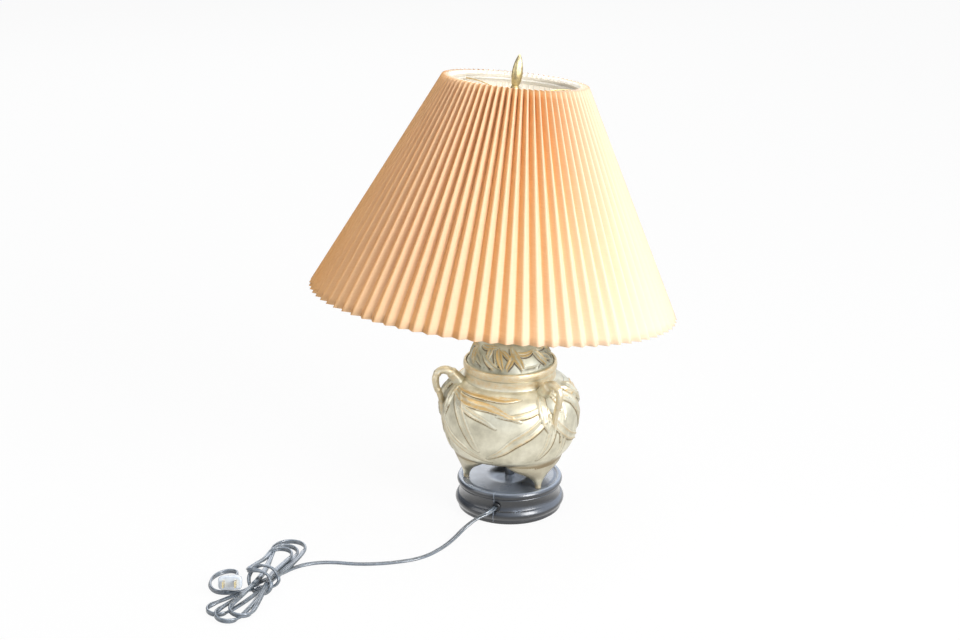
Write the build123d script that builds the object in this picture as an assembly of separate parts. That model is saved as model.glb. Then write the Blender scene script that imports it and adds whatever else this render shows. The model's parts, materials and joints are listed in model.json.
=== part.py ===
from build123d import *
import math
import os

# A table lamp: a cast urn with bamboo handles stands on a turned wooden base, a pipe clamps the
# stack, and a harp carries a pleated cone shade that leans because the harp's top is bent.
# Millimetres and degrees. The origin is on the pipe's axis where the lamp stands, +Z is up, and
# bearings count from -Y (the front) towards +X.

os.makedirs("parts", exist_ok=True)

# ---- fits -----------------------------------------------------------------------------------
SET_GAP = 0.3        # between pieces that are only set beside each other
SLIP = 0.15          # radial play of a pushed-on piece
RUN = 0.06           # radial play of a turning or threaded fit

# ---- base -----------------------------------------------------------------------------------
FELT_T = 1.5
FELT_R = 57.0
BASE_H = 38.0        # floor to the base's top
BASE_FOOT_R = 59.4
BASE_TORUS_R = 62.6
BASE_TORUS_Z = 11.0
BASE_TORUS_HALF = 5.4
BASE_WAIST_R = 57.4
BASE_WAIST_Z = 24.0
BASE_BEAD_R = 60.6
BASE_BEAD_Z = 34.0
BASE_TOP_R = 58.4
SCRIBE_R = 53.4      # scribed ring in the top
SCRIBE_DEEP = 0.7
CAVITY_R = 27.0
CAVITY_TOP = 26.0

# ---- pipe and its hardware ----------------------------------------------------------------------
PIPE_R = 4.9
PIPE_BORE_R = 3.4
PIPE_PLAY = 0.35     # pipe in the wood, the urn and the lid
NUT_FLATS = 16.0
NUT_T = 5.0
WASHER_R = 11.5
WASHER_T = 1.4
PIPE_BELOW_NUT = 3.0

# ---- urn ------------------------------------------------------------------------------------
FOOT_HIGH = 30.0     # base top to the urn's underside
# foot stations: radius, height over the base, half widths along and across the radius
FOOT_LINE = [(50.6, 0.0, 3.4, 3.4), (50.4, 4.0, 3.6, 3.9), (50.0, 9.0, 4.9, 6.6),
             (49.0, 14.0, 7.5, 11.5), (47.9, 19.0, 10.6, 19.0), (46.2, 24.0, 14.6, 27.5),
             (43.6, 29.0, 19.2, 35.0), (39.0, 35.0, 26.0, 40.0), (32.0, 42.0, 35.0, 43.0)]
URN_WALL = 3.2
URN_FLAT_R = 38.0
# outer curve from the underside to the shoulder: radius, height over the underside
URN_CURVE = [(50.0, 1.6), (59.0, 4.6), (66.2, 8.8), (71.6, 16.0), (75.8, 28.5),
             (78.0, 44.0), (78.0, 58.0), (74.6, 72.0), (67.0, 83.0), (58.5, 89.2)]
NECK_LOW = 91.6      # over the underside
NECK_R = 52.2
LIP_R = 53.4
LIP_LOW = 103.5
NECK_TOP = 112.5
NECK_BORE_R = 50.0
LEDGE_BORE_R = 46.0
LEDGE_DROP = 4.2
LEDGE_T = 3.0
HANDLE_BEARINGS = {"handle_left": -81.0, "handle_right": 39.0, "handle_back": 159.0}
# handle stations in its radial plane: radius, height over the urn's underside, stalk radius
HANDLE_LINE = [(55.5, 84.0, 8.4), (63.0, 95.2, 6.8), (71.5, 102.6, 5.2), (80.4, 102.6, 4.3),
               (85.4, 95.5, 4.2), (84.8, 84.5, 3.8), (81.0, 74.5, 3.4), (78.6, 64.0, 2.9),
               (78.2, 53.0, 2.2), (77.2, 44.0, 1.0)]

# ---- lid --------------------------------------------------------------------------------------
LID_GAP = 0.8        # radial, to the neck
LID_FLANGE_T = 3.2
LID_WALL = 2.4
# dome from the flange to the crown: radius, height over the flange
DOME_CURVE = [(46.0, 0.0), (45.4, 4.0), (43.6, 9.5), (39.0, 17.0), (31.0, 23.6), (21.0, 27.6)]
LID_CROWN_R = 14.0
LID_CROWN_H = 29.0
LID_WASHER_R = 13.0
LID_WASHER_T = 2.2
NECK_TUBE_R = 8.6
NECK_TUBE_H = 10.5

# ---- socket, over the saddle's upper face -----------------------------------------------------
CAP_R = 17.6
CAP_H = 20.0
CAP_DOME = 13.0
SHEET = 0.8          # brass sheet
PIPE_IN_CAP = 11.0
SHELL_LAP = 5.5      # shell inside the cap
SHELL_H = 48.0
LINER_H = 42.0
LINER_T = 0.8
LINER_LIFT = 2.0
SOCKET_BODY_R = 12.2
SOCKET_BODY_LOW = 19.0
SOCKET_BODY_H = 15.0
TERMINAL_R = 2.6
TERMINAL_OUT = 1.9
SCREW_SHELL_R = 13.3     # inside
SCREW_SHELL_T = 0.6
SCREW_SHELL_H = 25.0
CONTACT_R = 4.0
CONTACT_T = 2.4
KNOB_SHAFT_R = 1.7
KNOB_SHAFT_IN = 8.0      # shaft end's distance from the pipe's axis
KNOB_R = 6.4
KNOB_LONG = 13.0
KNOB_STANDOFF = 3.0
KNOB_HOLE_PLAY = 0.5

# ---- bulb, over the contact's upper face --------------------------------------------------------
BULB_TIP_R = 4.8
BULB_TIP_H = 3.0
BULB_CAP_R = 12.6
BULB_THREAD = 0.5        # how far the thread's ridges stand out
BULB_CAP_H = 23.0
BULB_GLASS_R = 30.0
BULB_GLASS_T = 0.8
BULB_LONG = 108.0
BULB_NECK_R = 12.9
BULB_STEM_R = 2.2
BULB_STEM_H = 24.0
FILAMENT_RISE = 24.0     # filament over the stem
FILAMENT_HALF = 10.0
FILAMENT_R = 0.8

# ---- harp -------------------------------------------------------------------------------------
HARP_WIRE_R = 1.7
HARP_HALF_FOOT = 28.0    # pipe axis to the sleeve's axis
HARP_WIDE = 57.0         # half width where it is widest
SADDLE_T = 1.8
SADDLE_WIDE = 12.0
TAB_T = 1.6
TAB_WIDE = 6.6
TAB_H = 13.0
HARP_FOOT_T = 3.2
HARP_FOOT_WIDE = 6.4
SLEEVE_BORE_R = 4.7
SLEEVE_T = 0.8
SLEEVE_H = 16.0
HARP_HEIGHT = 267.0      # saddle to the crown, measured straight up
CROWN_R = 8.0
CROWN_T = 2.6
STUD_R = 3.175
STUD_OUT = 9.5           # over the crown

# ---- the bent top: the shade's axis crosses the pipe's axis at the pivot ------------------------
LEAN_RIGHT = 5.72        # towards +X
LEAN_BACK = 6.86         # towards +Y
PIVOT_BELOW_CROWN = 31.5

# ---- shade, heights along its own axis -----------------------------------------------------------
PLEATS = 78
SHADE_TOP_R = 80.4
SHADE_BOTTOM_R = 204.5
SHADE_OVER_HUB = 13.8    # top edge over the hub's underside
SHADE_HEIGHT = 244.8
PLEAT_FACE = 10.7        # crest to valley, along the cloth
CLOTH_T = 0.6
RING_WIRE_R = 1.2
TOP_RING_DOWN = 8.0      # top edge to the wire
BOTTOM_RING_UP = 5.0
TAPE_T = 0.6
TAPE_H = 9.0
HUB_R = 11.0
HUB_T = 1.4
HUB_BORE_PLAY = 0.4
ARMS = 3
ARM_BEARING = 20.0

# ---- finial -----------------------------------------------------------------------------------
FINIAL_BASE_R = 6.2
FINIAL_BASE_H = 6.2
BUD_H = 34.4
BUD_R = 5.9
BUD_STEM_R = 3.6

# ---- cord ---------------------------------------------------------------------------------------
CORD_R = 2.7
CORD_BEARING = -16.0
CORD_EXIT_Z = 21.5
CORD_JOINT_R = 46.0      # where the inner lead meets the outer cord
BUSHING_R = 3.9
BUSHING_FLANGE_R = 4.9
BUSHING_FLANGE_T = 1.2
BUSHING_LONG = 9.0
# route over the floor after the exit's straight stretch
CORD_ROUTE = [(-19.0, -66.2, 21.3), (-36.0, -72.0, 16.6), (-52.0, -81.0, 8.8),
              (-62.5, -96.0, 3.6), (-75.0, -118.0, 2.8), (-96.0, -143.5, 2.7),
              (-127.0, -155.5, 2.7), (-164.0, -160.0, 2.7), (-199.0, -153.5, 2.7),
              (-222.0, -158.0, 2.8), (-240.0, -170.0, 5.0)]
# tied hank: centre x, y, half width, height
HANK_STATIONS = [(-236.0, -116.0, 9.0, 8.0), (-241.0, -136.0, 21.0, 13.0),
                 (-251.0, -168.0, 21.0, 18.0), (-262.0, -200.0, 16.0, 26.0),
                 (-266.0, -224.0, 14.0, 24.0), (-285.0, -252.0, 23.0, 13.0),
                 (-296.0, -274.0, 23.0, 14.0), (-301.0, -294.0, 9.0, 8.0)]

# ---- plug ---------------------------------------------------------------------------------------
PLUG_FACE = (-297.5, -240.0, 20.5)    # middle of the face
PLUG_RISE = 20.0                      # the blades point this much upwards
PLUG_TURN = 3.0
PLUG_WIDE = 25.0
PLUG_HIGH = 15.0
PLUG_LONG = 27.0
PLUG_TAIL_WIDE = 9.0
PLUG_TAIL_HIGH = 6.5
PLUG_ROUND = 3.0
BLADE_PITCH = 12.7
BLADE_WIDE = 6.35
BLADE_T = 1.5
BLADE_OUT = 17.0
BLADE_IN = 6.0

# ---- heights that follow ------------------------------------------------------------------------
URN_Z = BASE_H + FOOT_HIGH
RIM_Z = URN_Z + NECK_TOP
LID_Z = RIM_Z - LEDGE_DROP + LID_FLANGE_T        # flange's upper face
CROWN_OF_LID_Z = LID_Z + LID_CROWN_H
NECK_TUBE_Z = CROWN_OF_LID_Z + LID_WASHER_T
SADDLE_Z = NECK_TUBE_Z + NECK_TUBE_H
SOCKET_Z = SADDLE_Z + SADDLE_T
PIPE_BOTTOM_Z = CAVITY_TOP - WASHER_T - NUT_T - PIPE_BELOW_NUT
PIPE_TOP_Z = SOCKET_Z + PIPE_IN_CAP
SHELL_Z = SOCKET_Z + CAP_H - SHELL_LAP
SHELL_R = CAP_R - SHEET - SLIP
LINER_R = SHELL_R - SHEET - SLIP
SOCKET_BODY_TOP = SOCKET_Z + SOCKET_BODY_LOW + SOCKET_BODY_H
KNOB_Z = SOCKET_Z + SOCKET_BODY_LOW + SOCKET_BODY_H / 2
CONTACT_Z = SOCKET_BODY_TOP + SCREW_SHELL_T
BULB_Z = CONTACT_Z + CONTACT_T + SET_GAP
CROWN_Z = SADDLE_Z + HARP_HEIGHT
PIVOT_Z = CROWN_Z - PIVOT_BELOW_CROWN * math.cos(math.radians(math.hypot(LEAN_RIGHT, LEAN_BACK)))

LEAN_X = math.sin(math.radians(LEAN_RIGHT))
LEAN_Y = math.sin(math.radians(LEAN_BACK))
SHADE_AXIS = Vector(LEAN_X, LEAN_Y, math.sqrt(1 - LEAN_X ** 2 - LEAN_Y ** 2))
SHADE_FRAME = Plane(origin=(0, 0, PIVOT_Z), x_dir=Vector(0, 1, 0).cross(SHADE_AXIS),
                    z_dir=SHADE_AXIS)
HUB_T0 = PIVOT_BELOW_CROWN + RUN                 # hub's underside along the shade's axis
SHADE_TOP_T = HUB_T0 + SHADE_OVER_HUB
SHADE_BOTTOM_T = SHADE_TOP_T - SHADE_HEIGHT
FINIAL_T = HUB_T0 + HUB_T + RUN


# ---- helpers --------------------------------------------------------------------------------------
def at_bearing(bearing, radius, z):
    """Point at a bearing from the front, at a radius and height."""
    turn = math.radians(bearing)
    return Vector(radius * math.sin(turn), -radius * math.cos(turn), z)


def turned(points):
    """Solid of revolution about Z of a closed outline of (radius, height) corners."""
    return revolve(Plane.XZ * make_face(Polyline(*points, close=True)), Axis.Z)


def turned_edges(*edges):
    """Solid of revolution about Z of a closed outline made of edges in radius and height."""
    return revolve(Plane.XZ * make_face(Wire(edges)), Axis.Z)


def ring(outer_r, inner_r, low, high):
    """Straight tube about Z."""
    return turned([(inner_r, low), (outer_r, low), (outer_r, high), (inner_r, high)])


def disc(radius, low, high):
    """Straight cylinder about Z."""
    return Pos(0, 0, low) * Cylinder(radius, high - low, align=(Align.CENTER, Align.CENTER, Align.MIN))


def bend_radii(points):
    """Largest arc for each corner: 0.45 of the shorter run over the tangent of half the turn."""
    radii = []
    for before, corner, after in zip(points, points[1:], points[2:]):
        run_in = Vector(corner) - Vector(before)
        run_out = Vector(after) - Vector(corner)
        half_turn = math.radians(run_in.get_angle(run_out)) / 2
        radii.append(0.45 * min(run_in.length, run_out.length) / math.tan(half_turn))
    return radii


def rounded_path(points):
    """Straight runs joined by tangent arcs."""
    return FilletPolyline(*points, radius=bend_radii(points))


def tube_along(path, radius):
    """Round bar along a path."""
    section = Plane(origin=path @ 0, z_dir=path % 0) * Circle(radius)
    return sweep(section, path=path)


def save(node, shape):
    """Write one node's solids to its STEP file."""
    shape.label = node
    export_step(shape, f"parts/{node}.step")


# ---- base -------------------------------------------------------------------------------------------
def base_outline():
    """Foot, torus, waist cove, bead and flat top with its scribed ring, from the pipe outwards."""
    torus_low = BASE_TORUS_Z - BASE_TORUS_HALF
    torus_high = BASE_TORUS_Z + BASE_TORUS_HALF
    torus_edge = BASE_TORUS_R - 2.6
    bead_low = 2 * BASE_BEAD_Z - BASE_H
    bore = PIPE_R + PIPE_PLAY
    return [
        Line((CAVITY_R, FELT_T), (BASE_FOOT_R, FELT_T)),
        Line((BASE_FOOT_R, FELT_T), (BASE_FOOT_R, torus_low - 1.0)),
        Line((BASE_FOOT_R, torus_low - 1.0), (torus_edge - 0.8, torus_low - 0.6)),
        Line((torus_edge - 0.8, torus_low - 0.6), (torus_edge, torus_low)),
        ThreePointArc((torus_edge, torus_low), (BASE_TORUS_R, BASE_TORUS_Z), (torus_edge, torus_high)),
        Line((torus_edge, torus_high), (torus_edge - 1.0, torus_high + 0.4)),
        ThreePointArc((torus_edge - 1.0, torus_high + 0.4), (BASE_WAIST_R, BASE_WAIST_Z),
                      (BASE_TOP_R, bead_low)),
        ThreePointArc((BASE_TOP_R, bead_low), (BASE_BEAD_R, BASE_BEAD_Z), (BASE_TOP_R, BASE_H)),
        Line((BASE_TOP_R, BASE_H), (SCRIBE_R + SCRIBE_DEEP, BASE_H)),
        Line((SCRIBE_R + SCRIBE_DEEP, BASE_H), (SCRIBE_R, BASE_H - SCRIBE_DEEP)),
        Line((SCRIBE_R, BASE_H - SCRIBE_DEEP), (SCRIBE_R - SCRIBE_DEEP, BASE_H)),
        Line((SCRIBE_R - SCRIBE_DEEP, BASE_H), (bore, BASE_H)),
        Line((bore, BASE_H), (bore, CAVITY_TOP)),
        Line((bore, CAVITY_TOP), (CAVITY_R, CAVITY_TOP)),
        Line((CAVITY_R, CAVITY_TOP), (CAVITY_R, FELT_T)),
    ]


def cord_bore_frame():
    """Frame at the pipe's axis whose Z runs out along the cord's hole."""
    out = at_bearing(CORD_BEARING, 1, 0)
    return Plane(origin=(0, 0, CORD_EXIT_Z), x_dir=(0, 0, 1), z_dir=out)


def bushing_seat_r():
    """Radius of the wood's surface where the bushing's flange sits."""
    return BASE_WAIST_R + 1.0


def make_base():
    seat = bushing_seat_r()
    wood = turned_edges(*base_outline())
    along = cord_bore_frame().location
    wood -= along * disc(BUSHING_R + SLIP, CAVITY_R - 8, BASE_TORUS_R + 5)
    wood -= along * disc(BUSHING_FLANGE_R + SLIP, seat, BASE_TORUS_R + 5)
    save("wooden_base", wood)
    save("base_felt", disc(FELT_R, 0, FELT_T))
    flange_top = seat + BUSHING_FLANGE_T
    bushing = turned([(CORD_R + SLIP, seat - BUSHING_LONG), (BUSHING_R, seat - BUSHING_LONG),
                      (BUSHING_R, seat), (BUSHING_FLANGE_R, seat),
                      (BUSHING_FLANGE_R, flange_top - 0.5), (BUSHING_FLANGE_R - 0.5, flange_top),
                      (CORD_R + SLIP, flange_top)])
    save("cord_bushing", along * bushing)


def make_pipe():
    save("lamp_pipe", ring(PIPE_R, PIPE_BORE_R, PIPE_BOTTOM_Z, PIPE_TOP_Z))
    washer_low = CAVITY_TOP - WASHER_T
    save("base_washer", ring(WASHER_R, PIPE_R + RUN, washer_low, CAVITY_TOP))
    nut = extrude(RegularPolygon(NUT_FLATS / 2, 6, major_radius=False) - Circle(PIPE_R + RUN), NUT_T)
    save("base_nut", Pos(0, 0, washer_low - NUT_T) * nut)


# ---- urn ----------------------------------------------------------------------------------------
def urn_solid():
    """The urn without its hollow: flat underside, swelling body, collar neck with a rolled lip."""
    curve = [(URN_FLAT_R, 0.0)] + URN_CURVE + [(NECK_R + 1.2, NECK_LOW)]
    belly = Spline(*[(r, URN_Z + h) for r, h in curve])
    low, high = URN_Z + NECK_LOW, URN_Z + NECK_TOP
    lip = URN_Z + LIP_LOW
    edges = [
        Line((0, URN_Z), (URN_FLAT_R, URN_Z)),
        belly,
        Line((NECK_R + 1.2, low), (NECK_R, low + 0.6)),
        ThreePointArc((NECK_R, low + 0.6), (NECK_R - 0.5, (low + lip) / 2), (NECK_R, lip - 0.6)),
        Line((NECK_R, lip - 0.6), (LIP_R - 0.6, lip)),
        ThreePointArc((LIP_R - 0.6, lip), (LIP_R, (lip + high) / 2), (LIP_R - 0.6, high - 1.0)),
        Line((LIP_R - 0.6, high - 1.0), (LIP_R - 1.6, high)),
        Line((LIP_R - 1.6, high), (0, high)),
        Line((0, high), (0, URN_Z)),
    ]
    return turned_edges(*edges)


def urn_hollow():
    """The hollow: the outer curve taken in by the wall, up to the ledge that carries the lid."""
    ledge_top = RIM_Z - LEDGE_DROP
    ledge_low = ledge_top - LEDGE_T
    floor = URN_Z + URN_WALL
    curve = [(URN_FLAT_R - 2, floor)]
    widest = URN_CURVE.index(max(URN_CURVE))
    for k, (r, h) in enumerate(URN_CURVE):
        curve.append((r - URN_WALL, URN_Z + h + (1.6 if k <= widest else -1.6)))
    curve += [(LEDGE_BORE_R + 2.5, URN_Z + NECK_LOW), (LEDGE_BORE_R, ledge_low - 4.0)]
    edges = [
        Line((0, floor), curve[0]),
        Spline(*curve),
        Line(curve[-1], (LEDGE_BORE_R, ledge_top)),
        Line((LEDGE_BORE_R, ledge_top), (NECK_BORE_R, ledge_top)),
        Line((NECK_BORE_R, ledge_top), (NECK_BORE_R, RIM_Z + 1)),
        Line((NECK_BORE_R, RIM_Z + 1), (0, RIM_Z + 1)),
        Line((0, RIM_Z + 1), (0, floor)),
    ]
    return turned_edges(*edges)


def urn_foot(bearing):
    """Foot: a broad hip that carries the belly's curve down, arching in to a small round tip."""
    across = at_bearing(bearing + 90, 1, 0)
    sections = []
    for radius, height, along_half, across_half in FOOT_LINE:
        centre = at_bearing(bearing, radius, BASE_H + height)
        plane = Plane(origin=centre, x_dir=across, z_dir=(0, 0, 1))
        sections.append(plane * Ellipse(across_half, along_half))
    return loft(sections)


def handle_stalk(bearing):
    """Loop handle in its radial plane: circles square to the line, lofted."""
    out = at_bearing(bearing, 1, 0)
    line = [Vector(0, 0, URN_Z + h) + out * r for r, h, _ in HANDLE_LINE]
    spine = Spline(*line)
    sections = []
    for point, (_, _, stalk_r) in zip(line, HANDLE_LINE):
        along = spine.tangent_at(spine.param_at_point(point))
        sections.append(Plane(origin=point, z_dir=along) * Circle(stalk_r))
    return loft(sections)


def make_urn():
    whole = urn_solid()
    body = whole
    for bearing in HANDLE_BEARINGS.values():
        body += urn_foot(bearing)
    body -= urn_hollow()
    body -= disc(PIPE_R + PIPE_PLAY, URN_Z - 1, URN_Z + 2 * URN_WALL)
    save("urn_body", body)
    for node, bearing in HANDLE_BEARINGS.items():
        save(node, (handle_stalk(bearing) - whole).solid())


def make_lid():
    flange_low = RIM_Z - LEDGE_DROP
    flange_r = NECK_BORE_R - LID_GAP
    bore = PIPE_R + PIPE_PLAY
    outer = [(r, LID_Z + h) for r, h in DOME_CURVE] + [(LID_CROWN_R, CROWN_OF_LID_Z)]
    inner = [(r - LID_WALL, z - 1.6) for r, z in outer[1:-1]]
    inner = [(outer[0][0] - LID_WALL, flange_low)] + inner + [(LID_CROWN_R, CROWN_OF_LID_Z - LID_WALL)]
    lid = turned_edges(
        Line((outer[0][0] - LID_WALL, flange_low), (flange_r, flange_low)),
        Line((flange_r, flange_low), (flange_r, LID_Z - 0.6)),
        Line((flange_r, LID_Z - 0.6), (flange_r - 0.6, LID_Z)),
        Line((flange_r - 0.6, LID_Z), outer[0]),
        Spline(*outer),
        Line(outer[-1], (bore, CROWN_OF_LID_Z)),
        Line((bore, CROWN_OF_LID_Z), (bore, CROWN_OF_LID_Z - LID_WALL)),
        Line((bore, CROWN_OF_LID_Z - LID_WALL), inner[-1]),
        Spline(*inner[::-1]))
    save("urn_lid", lid)
    save("lid_washer", turned([(bore, CROWN_OF_LID_Z), (LID_WASHER_R, CROWN_OF_LID_Z),
                               (LID_WASHER_R, CROWN_OF_LID_Z + LID_WASHER_T - 1),
                               (LID_WASHER_R - 1, NECK_TUBE_Z), (bore, NECK_TUBE_Z)]))
    save("neck_tube", ring(NECK_TUBE_R, bore, NECK_TUBE_Z, SADDLE_Z))


# ---- harp ---------------------------------------------------------------------------------------
def make_saddle():
    """Flat strap on the pipe with an upright tab at each end."""
    reach = HARP_HALF_FOOT - SLIP
    strap = Pos(0, 0, SADDLE_Z) * Box(2 * reach, SADDLE_WIDE, SADDLE_T,
                                      align=(Align.CENTER, Align.CENTER, Align.MIN))
    strap -= disc(PIPE_R + PIPE_PLAY, SADDLE_Z - 1, SOCKET_Z + 1)
    saddle = strap
    for side in (-1, 1):
        tab = Box(TAB_T, TAB_WIDE, TAB_H + SADDLE_T, align=(Align.CENTER, Align.CENTER, Align.MIN))
        saddle += Pos(side * (reach - TAB_T / 2), 0, SADDLE_Z) * tab
        seat = Pos(side * HARP_HALF_FOOT, 0, SADDLE_Z) * Cylinder(
            SLEEVE_BORE_R + SLEEVE_T, SADDLE_T, align=(Align.CENTER, Align.CENTER, Align.MIN))
        saddle += seat
    save("harp_saddle", saddle)


def harp_line():
    """Half of the harp's centre line, from its foot to the crown, for side +1 or -1."""
    foot_x = HARP_HALF_FOOT + HARP_FOOT_T / 2
    lower = [(foot_x, SOCKET_Z + TAB_H - 1), (foot_x, SOCKET_Z + 38), (HARP_WIDE - 3, SOCKET_Z + 95),
             (HARP_WIDE, SOCKET_Z + 165)]
    under_crown = PIVOT_BELOW_CROWN - CROWN_T - HARP_WIRE_R + 0.2
    upper = [(HARP_WIDE - 9, -7.0), (15.0, under_crown)]
    right = [Vector(x, 0, z) for x, z in lower]
    left = [Vector(-x, 0, z) for x, z in lower]
    right += [SHADE_FRAME.from_local_coords(Vector(x, 0, t)) for x, t in upper]
    left += [SHADE_FRAME.from_local_coords(Vector(-x, 0, t)) for x, t in upper]
    return left + right[::-1]


def make_harp():
    harp = tube_along(rounded_path(harp_line()), HARP_WIRE_R)
    for side in (-1, 1):
        foot = Box(HARP_FOOT_T, HARP_FOOT_WIDE, TAB_H, align=(Align.CENTER, Align.CENTER, Align.MIN))
        harp += Pos(side * (HARP_HALF_FOOT + HARP_FOOT_T / 2), 0, SOCKET_Z + SET_GAP) * foot
    save("harp", harp)
    crown_low = PIVOT_BELOW_CROWN - CROWN_T
    stud = disc(CROWN_R, crown_low, PIVOT_BELOW_CROWN)
    stud += disc(STUD_R, PIVOT_BELOW_CROWN, PIVOT_BELOW_CROWN + STUD_OUT)
    save("harp_stud", SHADE_FRAME.location * stud)
    for name, side in (("sleeve_left", -1), ("sleeve_right", 1)):
        sleeve = ring(SLEEVE_BORE_R + SLEEVE_T, SLEEVE_BORE_R, SOCKET_Z + 0.02, SOCKET_Z + SLEEVE_H)
        save(name, Pos(side * HARP_HALF_FOOT, 0, 0) * sleeve)


# ---- socket -------------------------------------------------------------------------------------
def make_socket():
    bore = PIPE_R + RUN
    collar = bore + 2.0
    knee = SOCKET_Z + CAP_DOME
    top = SOCKET_Z + CAP_H
    cap = turned_edges(
        Line((bore, SOCKET_Z), (collar + 1.0, SOCKET_Z)),
        ThreePointArc((collar + 1.0, SOCKET_Z), (CAP_R - 3.2, SOCKET_Z + 4.6), (CAP_R, knee)),
        Line((CAP_R, knee), (CAP_R, top)),
        Line((CAP_R, top), (CAP_R - SHEET, top)),
        Line((CAP_R - SHEET, top), (CAP_R - SHEET, knee)),
        ThreePointArc((CAP_R - SHEET, knee), (CAP_R - 3.2 - SHEET, SOCKET_Z + 5.6),
                      (collar + 1.0, SOCKET_Z + 1.2)),
        Line((collar + 1.0, SOCKET_Z + 1.2), (collar, SOCKET_Z + PIPE_IN_CAP - 2)),
        Line((collar, SOCKET_Z + PIPE_IN_CAP - 2), (bore, SOCKET_Z + PIPE_IN_CAP - 2)),
        Line((bore, SOCKET_Z + PIPE_IN_CAP - 2), (bore, SOCKET_Z)))
    save("socket_cap", cap)
    knob_line = Plane(origin=(0, 0, KNOB_Z), x_dir=(1, 0, 0), z_dir=(0, -1, 0)).location
    knob_hole = knob_line * disc(KNOB_SHAFT_R + KNOB_HOLE_PLAY, 0, CAP_R + 5)
    shell_top = SHELL_Z + SHELL_H
    shell = ring(SHELL_R, SHELL_R - SHEET, SHELL_Z, shell_top)
    save("socket_shell", shell - knob_hole)
    liner_low = SHELL_Z + LINER_LIFT
    save("socket_liner", ring(LINER_R, LINER_R - LINER_T, liner_low, liner_low + LINER_H) - knob_hole)
    body_low = SOCKET_Z + SOCKET_BODY_LOW
    body = disc(SOCKET_BODY_R, body_low, SOCKET_BODY_TOP)
    body += ring(LINER_R - LINER_T - SLIP, SOCKET_BODY_R - 2, SOCKET_BODY_TOP - 3, SOCKET_BODY_TOP)
    body -= knob_line * disc(KNOB_SHAFT_R + RUN, KNOB_SHAFT_IN - 2, CAP_R)
    save("socket_body", body)
    screw = ring(SCREW_SHELL_R + SCREW_SHELL_T, SCREW_SHELL_R, SOCKET_BODY_TOP,
                 SOCKET_BODY_TOP + SCREW_SHELL_H)
    screw += ring(SCREW_SHELL_R + SCREW_SHELL_T, CONTACT_R + 2, SOCKET_BODY_TOP,
                  SOCKET_BODY_TOP + SCREW_SHELL_T)
    save("screw_shell", screw)
    save("centre_contact", disc(CONTACT_R, SOCKET_BODY_TOP, CONTACT_Z + CONTACT_T))
    heads = []
    for side in (-1, 1):
        face = Plane(origin=(side * SOCKET_BODY_R, 0, body_low + 5), z_dir=(side, 0, 0))
        heads.append(face.location * disc(TERMINAL_R, -0.4, TERMINAL_OUT))
    save("terminal_screws", Compound(children=heads))
    grip_start = SHELL_R + KNOB_STANDOFF
    knob = turned([(0, KNOB_SHAFT_IN), (KNOB_SHAFT_R, KNOB_SHAFT_IN), (KNOB_SHAFT_R, grip_start),
                   (KNOB_R - 2.2, grip_start), (KNOB_R, grip_start + 2.5),
                   (KNOB_R, grip_start + KNOB_LONG - 1), (KNOB_R - 1, grip_start + KNOB_LONG),
                   (0, grip_start + KNOB_LONG)])
    save("switch_knob", knob_line * knob)


# ---- bulb -----------------------------------------------------------------------------------------
def bulb_glass_curve(shrink):
    """Half outline of the envelope, from the cap to the crown, taken in by the glass thickness."""
    low = BULB_Z + BULB_TIP_H + BULB_CAP_H - 3
    top = BULB_Z + BULB_LONG
    wide = top - BULB_GLASS_R
    half = BULB_GLASS_R / math.sqrt(2)
    return [
        Spline((BULB_NECK_R - shrink, low), (BULB_NECK_R + 3.6 - shrink, low + 14),
               (BULB_GLASS_R - 7 - shrink, low + 31), (BULB_GLASS_R - shrink, wide),
               tangents=[(0, 1), (0, 1)]),
        ThreePointArc((BULB_GLASS_R - shrink, wide),
                      (half - shrink / math.sqrt(2), wide + half - shrink / math.sqrt(2)),
                      (0, top - shrink)),
    ]


def make_bulb():
    low = BULB_Z + BULB_TIP_H + BULB_CAP_H - 3
    top = BULB_Z + BULB_LONG
    outer = turned_edges(Line((0, low), (BULB_NECK_R, low)), *bulb_glass_curve(0),
                         Line((0, top), (0, low)))
    inner = turned_edges(Line((0, low), (BULB_NECK_R - BULB_GLASS_T, low)),
                         *bulb_glass_curve(BULB_GLASS_T), Line((0, top - BULB_GLASS_T), (0, low)))
    save("bulb_glass", outer - inner)
    tip_top = BULB_Z + BULB_TIP_H
    save("bulb_tip", turned([(0, BULB_Z), (BULB_TIP_R - 1.6, BULB_Z), (BULB_TIP_R, BULB_Z + 1.2),
                             (BULB_CAP_R - 3, tip_top), (0, tip_top)]))
    outline = [(BULB_CAP_R - 3, tip_top), (BULB_CAP_R - 0.2, tip_top + 1.5)]
    ridge = 3.6
    for turn in range(4):
        z = tip_top + 2.5 + turn * ridge
        outline += [(BULB_CAP_R - BULB_THREAD, z), (BULB_CAP_R, z + ridge / 2)]
    cap_top = tip_top + BULB_CAP_H - 3 - SLIP
    outline += [(BULB_CAP_R, cap_top), (BULB_CAP_R - 1.4, cap_top)]
    outline += [(BULB_CAP_R - 1.4, tip_top + 3), (BULB_CAP_R - 3, tip_top + 2)]
    save("bulb_cap", turned(outline))
    save("bulb_mount", bulb_mount(low))


def bulb_mount(low):
    """Glass stem that flares to the neck, with two wires that carry the filament."""
    flare_r = BULB_NECK_R - BULB_GLASS_T - SLIP
    stem_top = low + BULB_STEM_H
    mount = turned([(0, low), (flare_r, low), (flare_r, low + 1.0), (BULB_STEM_R + 2.5, low + 6.0),
                    (BULB_STEM_R, low + 10.0), (BULB_STEM_R, stem_top), (0, stem_top)])
    filament_z = stem_top + FILAMENT_RISE
    for side in (-1, 1):
        line = rounded_path([(side * 1.0, 0, stem_top - 2), (side * 2.0, 0, stem_top + 6),
                             (side * (FILAMENT_HALF - 1), 0, filament_z - 8),
                             (side * FILAMENT_HALF, 0, filament_z)])
        mount += tube_along(line, 0.5)
    filament = Cylinder(FILAMENT_R, 2 * FILAMENT_HALF)
    return mount + Pos(0, 0, filament_z) * Rot(0, 90, 0) * filament


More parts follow.
